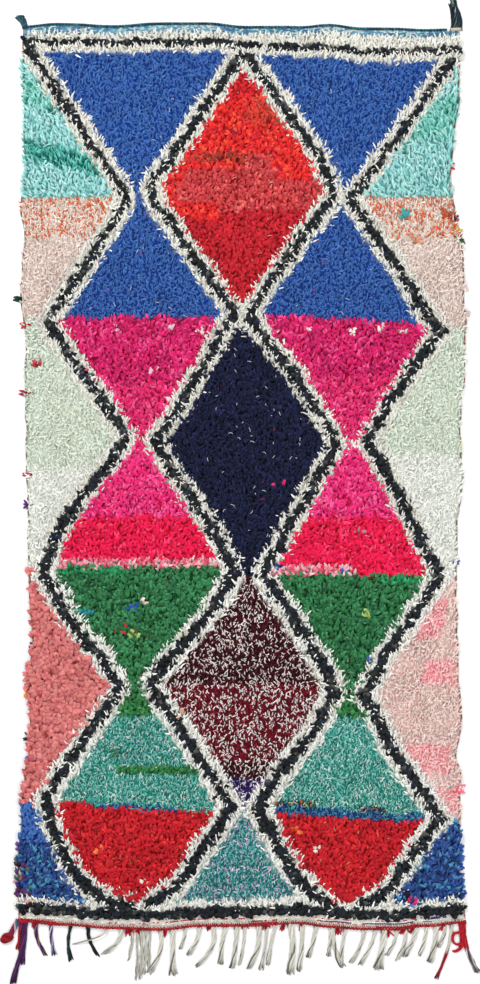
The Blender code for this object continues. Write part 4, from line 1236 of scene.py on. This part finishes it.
# ---- The fringe
# The cotton warps are left long at this end, and twisted by hand into bundles, each with
# a loose brush at its tip. One wide bundle was never twisted.
Strand = namedtuple("Strand", "root sway reach bow width loose tail lift", defaults=(0, (), 0.0))
ROOT_DEEP = 0.0043        # how far each strand goes in under the cord
IVORY_STRANDS = (
    Strand(-0.361, -0.088, 0.044, 0.014, 0.0075, 0, (), 0.008),
    Strand(-0.323, -0.042, 0.070, 0.010, 0.014),
    Strand(-0.288, -0.012, 0.088, 0.000, 0.009, 1),
    Strand(-0.277, -0.003, 0.140, 0.001, 0.0088, 1),
    Strand(-0.266, -0.004, 0.137, 0.001, 0.0088, 1),
    Strand(-0.255, -0.004, 0.124, 0.001, 0.0088, 1),
    Strand(-0.244, -0.004, 0.116, 0.001, 0.0088, 1),
    Strand(-0.215, -0.029, 0.122, 0.009, 0.012),
    Strand(-0.181, 0.001, 0.126, -0.001, 0.016),
    Strand(-0.147, -0.014, 0.060, 0.001, 0.010),
    Strand(-0.110, -0.030, 0.080, 0.004, 0.013),
    Strand(-0.075, -0.038, 0.112, 0.014, 0.014),
    Strand(-0.037, -0.015, 0.105, -0.006, 0.013),
    Strand(-0.009, -0.012, 0.116, 0.001, 0.014),
    Strand(0.013, -0.014, 0.108, 0.001, 0.010),
    Strand(0.050, -0.025, 0.118, 0.007, 0.015),
    Strand(0.074, -0.017, 0.124, -0.001, 0.010),
    Strand(0.097, -0.021, 0.112, -0.006, 0.012),
    Strand(0.135, -0.002, 0.138, 0.008, 0.018),
    Strand(0.168, -0.010, 0.130, 0.002, 0.013),
    Strand(0.207, -0.022, 0.088, -0.002, 0.012),
    Strand(0.244, -0.006, 0.080, 0.001, 0.010),
    Strand(0.251, 0.024, 0.110, -0.004, 0.013),
    Strand(0.286, -0.012, 0.106, -0.006, 0.011),
    Strand(0.335, -0.034, 0.092, 0.002, 0.012),
    Strand(0.366, -0.041, 0.098, -0.001, 0.011),
    Strand(0.390, -0.018, 0.110, -0.001, 0.018),
    Strand(0.423, -0.026, 0.072, 0.002, 0.010),
    Strand(0.447, -0.024, 0.088, 0.004, 0.012),
    Strand(0.478, -0.034, 0.082, 0.000, 0.014),
    Strand(0.502, -0.016, 0.082, 0.002, 0.011),
    Strand(0.530, -0.016, 0.102, 0.001, 0.016),
    Strand(0.553, -0.018, 0.064, 0.003, 0.011),
    Strand(0.572, -0.042, 0.152, 0.002, 0.010, 0, ((176, 36, 46), (150, 26, 36))),
)
# Four strands by the left corner were made of spare rag yarn.
DYED_STRANDS = (
    Strand(-0.549, 0.026, 0.090, -0.007, 0.013),
    Strand(-0.510, 0.010, 0.086, -0.002, 0.011),
    Strand(-0.454, -0.002, 0.100, -0.009, 0.011),
    Strand(-0.408, 0.026, 0.080, -0.006, 0.012),
)
DYED = (
    # the dyes of each strand's yarns in turn
    ((78, 40, 98), (60, 30, 80), (92, 52, 112), (150, 112, 96)),
    ((74, 44, 100), (60, 38, 92), (206, 200, 220), (86, 54, 118), (160, 150, 178)),
    ((30, 50, 52), (22, 36, 40), (38, 64, 62)),
    ((28, 33, 35), (22, 26, 30), (38, 46, 48)),
)
COTTON = ((226, 224, 212), (204, 201, 188), (232, 230, 219), (122, 118, 108), (218, 215, 202))
GIRTHS = ((0.0, 0.05, 0.14, 0.45, 0.70, 0.86, 0.96, 1.0), (1.7, 1.15, 0.86, 0.72, 0.84, 1.04, 1.28, 1.2))


def bundle(strand, start, outward, dyes, luck, count=8, stations=15):
    """The yarns of one strand, as spines, thicknesses and colours. It lies on the floor."""
    share = np.linspace(0, 1, stations)
    count -= strand.loose
    girth = strand.width / 2 * np.interp(share, *GIRTHS)
    middle = strand.sway * share ** 1.6 + strand.bow * np.sin(np.pi * share)
    spines, thick, colours = [], [], []
    for part in range(count):
        reach = (strand.reach + ROOT_DEEP) * (luck.uniform(0.93, 1.0) if part else 1.0)
        turn = 2 * np.pi * part / (count - 1) + luck.normal(0, 0.25)
        turn = turn + (0.3 if strand.loose else 2.6) * np.pi * np.minimum(share, 0.8)
        out = 0.66 if part else 0.0
        splay = np.clip((share - 0.78) / 0.22, 0, 1) ** 1.5 * luck.normal(0, 0.22) * strand.width
        wave = (0.0007 + 0.0014 * strand.loose) * np.sin(share * luck.uniform(9, 15) + luck.uniform(0, 6))
        wave = wave * np.minimum(1, share * 6)
        across = -outward * (middle + out * girth * np.cos(turn) + splay + wave)
        height = strand.width * 0.30 * (1 + 0.55 * out * np.sin(turn))
        height = height * np.interp(share, (0, 0.1, 0.9, 1), (0.75, 1, 0.9, 0.55))
        height = height + strand.lift * np.sin(np.pi * share)
        spines.append(points_at(start[0] + across, start[1] + outward * reach * share, height))
        fine = (0.115 if strand.loose else 0.185) * strand.width * luck.uniform(0.88, 1.1)
        thick.append(fine * np.interp(share, (0, 0.1, 0.45, 0.85, 1), (1.1, 1.0, 0.92, 1.05, 0.6)))
        shade = np.tile(dye(*dyes[part % len(dyes)]) * (1 + 0.07 * luck.normal()), (stations, 1))
        if strand.tail:
            shade[share > 0.55] = dye(*strand.tail[part % len(strand.tail)]) * (1 + 0.12 * luck.normal())
        # each yarn is darker by its root, painted shade where it goes in under the cord, and darker towards its
        # tip
        near_tip, at_tip = luck.uniform(0.66, 0.98), luck.choice((0.12, 0.4, 0.75))
        darker_at_ends = np.interp(share, (0, 0.08, 0.5, 0.86, 1), (0.66, 1, 0.97, near_tip, at_tip))
        colours.append(np.clip(shade * darker_at_ends[:, None], 0, 0.95))
    return spines, thick, colours


def bundles(strands, start, outward, dyes, seed, count=8):
    """The yarns of a row of strands; start gives the point that a strand leaves from."""
    luck = np.random.default_rng(seed)
    made = [bundle(strand, start(strand), outward, shades, luck, count)
            for strand, shades in zip(strands, dyes)]
    return tuple(np.array([row for part in made for row in part[kind]]) for kind in range(3))


def off_fringed_end(strand):
    """Where a fringe strand leaves the cloth."""
    return strand.root, end_edge(-1, strand.root) + 0.001


for label, slot, node, strands, dyes in (
    ("fringe_ivory", "ivory_warp", "warp_fringe", IVORY_STRANDS, [COTTON] * len(IVORY_STRANDS)),
    ("fringe_dyed", "dyed_warp", "dyed_fringe", DYED_STRANDS, DYED),
):
    spines, girth, colours = bundles(strands, off_fringed_end, -1, dyes, 400)
    hang(yarns(label, spines, girth, colours, 5), yarn_finish, slot, node)


# ---- The corner tassels
# Spare rag yarn knotted through each corner: a teal wisp and a thick dark brush at the
# corded end, a long purple tail and red cords with a grey tail at the fringed one.
Tassel = namedtuple("Tassel", "side end inward head_wide slot strands dyes")
TASSELS = {
    "tassel_top_left": Tassel(-1, 1, 0.0055, 0.013, "navy_yarn", (
        Strand(-0.002, 0.010, 0.028, -0.002, 0.0095),
        Strand(0.000, 0.016, 0.028, -0.001, 0.0100),
        Strand(0.002, 0.022, 0.024, 0.001, 0.0095)),
        (((48, 66, 92), (70, 96, 112), (34, 56, 74)), ((40, 84, 96), (58, 108, 116), (34, 70, 88)),
         ((52, 98, 104), (76, 126, 128), (38, 74, 90)))),
    "tassel_top_right": Tassel(1, 1, 0.0090, 0.030, "navy_yarn", (
        Strand(-0.0095, 0.014, 0.060, -0.006, 0.0120),
        Strand(-0.0035, 0.012, 0.078, -0.005, 0.0130),
        Strand(0.0035, 0.006, 0.088, -0.003, 0.0130, 0, ((26, 58, 52), (160, 164, 158), (70, 90, 84))),
        Strand(0.0095, 0.002, 0.068, -0.001, 0.0120)),
        (((26, 48, 70), (30, 60, 52), (24, 32, 62)), ((22, 44, 48), (28, 40, 78), (50, 70, 70)),
         ((26, 58, 52), (22, 34, 46), (90, 104, 100)), ((20, 30, 40), (30, 62, 54), (24, 36, 58)))),
    "tassel_bottom_left": Tassel(-1, -1, 0.0125, 0.024, "red_cord", (
        Strand(-0.008, -0.006, 0.074, 0.000, 0.0090),
        Strand(0.000, -0.030, 0.166, 0.004, 0.0150),
        Strand(0.008, -0.010, 0.112, 0.000, 0.0120)),
        (((184, 26, 40), (160, 24, 38)), ((76, 36, 92), (54, 26, 68), (100, 56, 118), (84, 30, 60)),
         ((70, 34, 86), (50, 26, 64), (92, 52, 108)))),
    "tassel_bottom_right": Tassel(1, -1, 0.0100, 0.020, "red_cord", (
        Strand(0.002, 0.040, 0.130, -0.004, 0.0140, 0,
               ((176, 170, 166), (222, 216, 208), (104, 92, 112), (70, 62, 74))),
        Strand(-0.005, 0.006, 0.062, 0.002, 0.0125),
        Strand(0.005, 0.012, 0.074, -0.001, 0.0120)),
        (((182, 24, 38), (164, 20, 32), (196, 36, 48)), ((178, 26, 40), (156, 20, 32), (192, 36, 48)),
         ((176, 22, 36), (152, 20, 30), (190, 34, 46)))),
}
for seed, (label, tassel) in enumerate(TASSELS.items()):
    middle = side_edge(tassel.side, tassel.end * CORNER_AT) - tassel.side * tassel.inward

    def off_corner(strand):
        """Where a tassel's strand leaves the corner."""
        x = middle - tassel.end * strand.root
        return x, end_edge(tassel.end, x) + tassel.end * 0.001

    spines, girth, colours = bundles([strand._replace(reach=strand.reach + 0.004) for strand in tassel.strands],
                                     off_corner, tassel.end, tassel.dyes, 420 + seed, 9)
    hang(yarns(label + "_yarn", spines, girth, colours, 5), yarn_finish, tassel.slot, label)
    # three turns of yarn bind the strands into a flat bundle at the corner
    turn = np.linspace(0, 2 * np.pi, 13)
    rings = np.stack([points_at(
        middle + tassel.head_wide / 2 * np.cos(turn),
        end_edge(tassel.end, middle) + tassel.end * (0.0020 + 0.0025 * row + 0.0006 * np.cos(turn)),
        0.0038 + 0.0030 * np.sin(turn)) for row in range(3)])
    bound = (214, 208, 190) if label == "tassel_top_right" else tassel.dyes[0][0]
    knot = yarns(label + "_knot", rings, 0.0016, dye(*bound), 5, (0, 1, 0))
    hang(knot, yarn_finish, tassel.slot, label)


# a spare red end makes a loop beside the tassel on the right and lies back on the floor
loop = np.array((
    (0.600, -1.226, 0.008), (0.594, -1.233, 0.009), (0.586, -1.237, 0.008), (0.577, -1.238, 0.006),
    (0.572, -1.246, 0.004), (0.572, -1.257, 0.004), (0.578, -1.267, 0.005), (0.588, -1.269, 0.007),
    (0.597, -1.264, 0.008), (0.598, -1.272, 0.006), (0.592, -1.281, 0.004), (0.582, -1.287, 0.003),
    (0.573, -1.288, 0.002)))
loop = np.stack((loop, loop + (0.0034, -0.0020, 0.0006)))
share = np.linspace(0, 12, 37)
loop = np.stack([points_at(*(np.interp(share, np.arange(13), axis) for axis in one.T)) for one in loop])
red_loop = yarns("tassel_bottom_right_loop", loop, 0.0026 * np.interp(share, (0, 30, 36), (1, 1, 0.5)),
                 [dye(178, 24, 38), dye(196, 34, 48)], 6)
hang(red_loop, yarn_finish, "red_cord", "tassel_bottom_right")


# ---- The red bobble
# A knot of red rag wound into a small stuffed ball, on a stem of mixed yarns that comes
# off the fringed end's left corner.
BOBBLE_AT = (-0.629, -1.252)
BOBBLE_HALF = (0.0190, 0.0136, 0.0078)
BOBBLE_TURN = math.radians(28)
rows, wide = 15, 25
lean, turn = np.meshgrid(np.linspace(0.04, np.pi - 0.04, rows), np.linspace(0, 2 * np.pi, wide), indexing="ij")
fold = (1 + 0.045 * np.sin(5 * lean + 3 * turn) + 0.03 * np.sin(9 * turn + 4 * lean))[..., None]
ball = points_at(np.cos(lean), np.sin(lean) * np.cos(turn), np.sin(lean) * np.sin(turn))
ball = ball * fold * BOBBLE_HALF
ball[..., 2] = np.maximum(ball[..., 2], -0.0056) + 0.0060
spin = np.array(((math.cos(BOBBLE_TURN), math.sin(BOBBLE_TURN)),
                 (-math.sin(BOBBLE_TURN), math.cos(BOBBLE_TURN))))
ball[..., :2] = ball[..., :2] @ spin + BOBBLE_AT
# the rag is painted darker in the hollows of its folds and lighter on their ridges: painted shade and painted
# highlight
shade = dye(140, 20, 31) * (0.85 + 9.0 * (fold - 1)).clip(0.3, 1.3)
u, v = np.meshgrid(np.linspace(0.03, 0.97, wide), np.linspace(0.03, 0.97, rows))
bobble = make_mesh("bobble_rag", ball.reshape(-1, 3), sheet_faces(wide - 1, rows - 1), shade.reshape(-1, 3),
                   uv=np.stack((u, v), 2).reshape(-1, 2), extras=(("reach", np.full(rows * wide, 0.8)),))
hang(bobble, rag_finish, "red_cord", "corner_bobble")

stem_from = np.array(BOBBLE_AT) + (0.008, 0.007)
stem_to = np.array((side_edge(-1, -CORNER_AT), end_edge(-1, -0.6)))
share = np.linspace(0, 1, 9)
spines = np.zeros((5, 9, 3))
for part in range(5):
    turn = 2 * np.pi * part / 5 + 7 * share
    spines[part, :, :2] = stem_from + (stem_to - stem_from) * share[:, None]
    spines[part, :, :2] += np.array((0.9, -0.45)) * (0.0052 * np.cos(turn))[:, None]
    spines[part, :, 2] = 0.0046 + 0.0022 * np.sin(turn)
stem_dyes = [dye(*part) for part in (
    (150, 40, 60), (96, 60, 120), (70, 110, 112), (206, 170, 180), (120, 30, 50))]
hang(yarns("bobble_stem", spines, 0.0030, stem_dyes, 5), yarn_finish, "red_cord", "corner_bobble")


# ---- The floor and the light
# A pale studio floor, a broad soft light up by the corded end's left corner and a dim
# even one from all round.
floor_data = bpy.data.meshes.new("floor")
floor_data.from_pydata([(x, y, -0.0004) for x, y in ((-9, -9), (9, -9), (9, 9), (-9, 9))], [], [(0, 1, 2, 3)])
floor = bpy.data.objects.new("floor", floor_data)
bpy.context.scene.collection.objects.link(floor)
floor_board = Board("pale_floor", 0.9, 0.0)
floor_shade = floor_board.noise(2.0, 2.0)
floor_data.materials.append(floor_board.finish(
    floor_board.mix(floor_shade, (0.86, 0.86, 0.86), (0.88, 0.88, 0.88))))


def softbox(name, place, aim, wide, power):
    """A square area light that looks at a point."""
    data = bpy.data.lights.new(name, "AREA")
    data.energy = power
    data.size = wide
    lamp = bpy.data.objects.new(name, data)
    lamp.location = place
    lamp.rotation_euler = (Vector(aim) - Vector(place)).to_track_quat("-Z", "Y").to_euler()
    bpy.context.scene.collection.objects.link(lamp)


softbox("key", (-2.4, 3.0, 4.8), (0, 0, 0), 3.0, 264)
softbox("fill", (2.8, -1.8, 5.0), (0, 0, 0), 4.0, 144)
world = bpy.data.worlds.new("studio")
world.use_nodes = True
world.node_tree.nodes["Background"].inputs["Color"].default_value = (1, 1, 1, 1)
world.node_tree.nodes["Background"].inputs["Strength"].default_value = 0.66
bpy.context.scene.world = world
bpy.context.scene.view_settings.view_transform = "Standard"
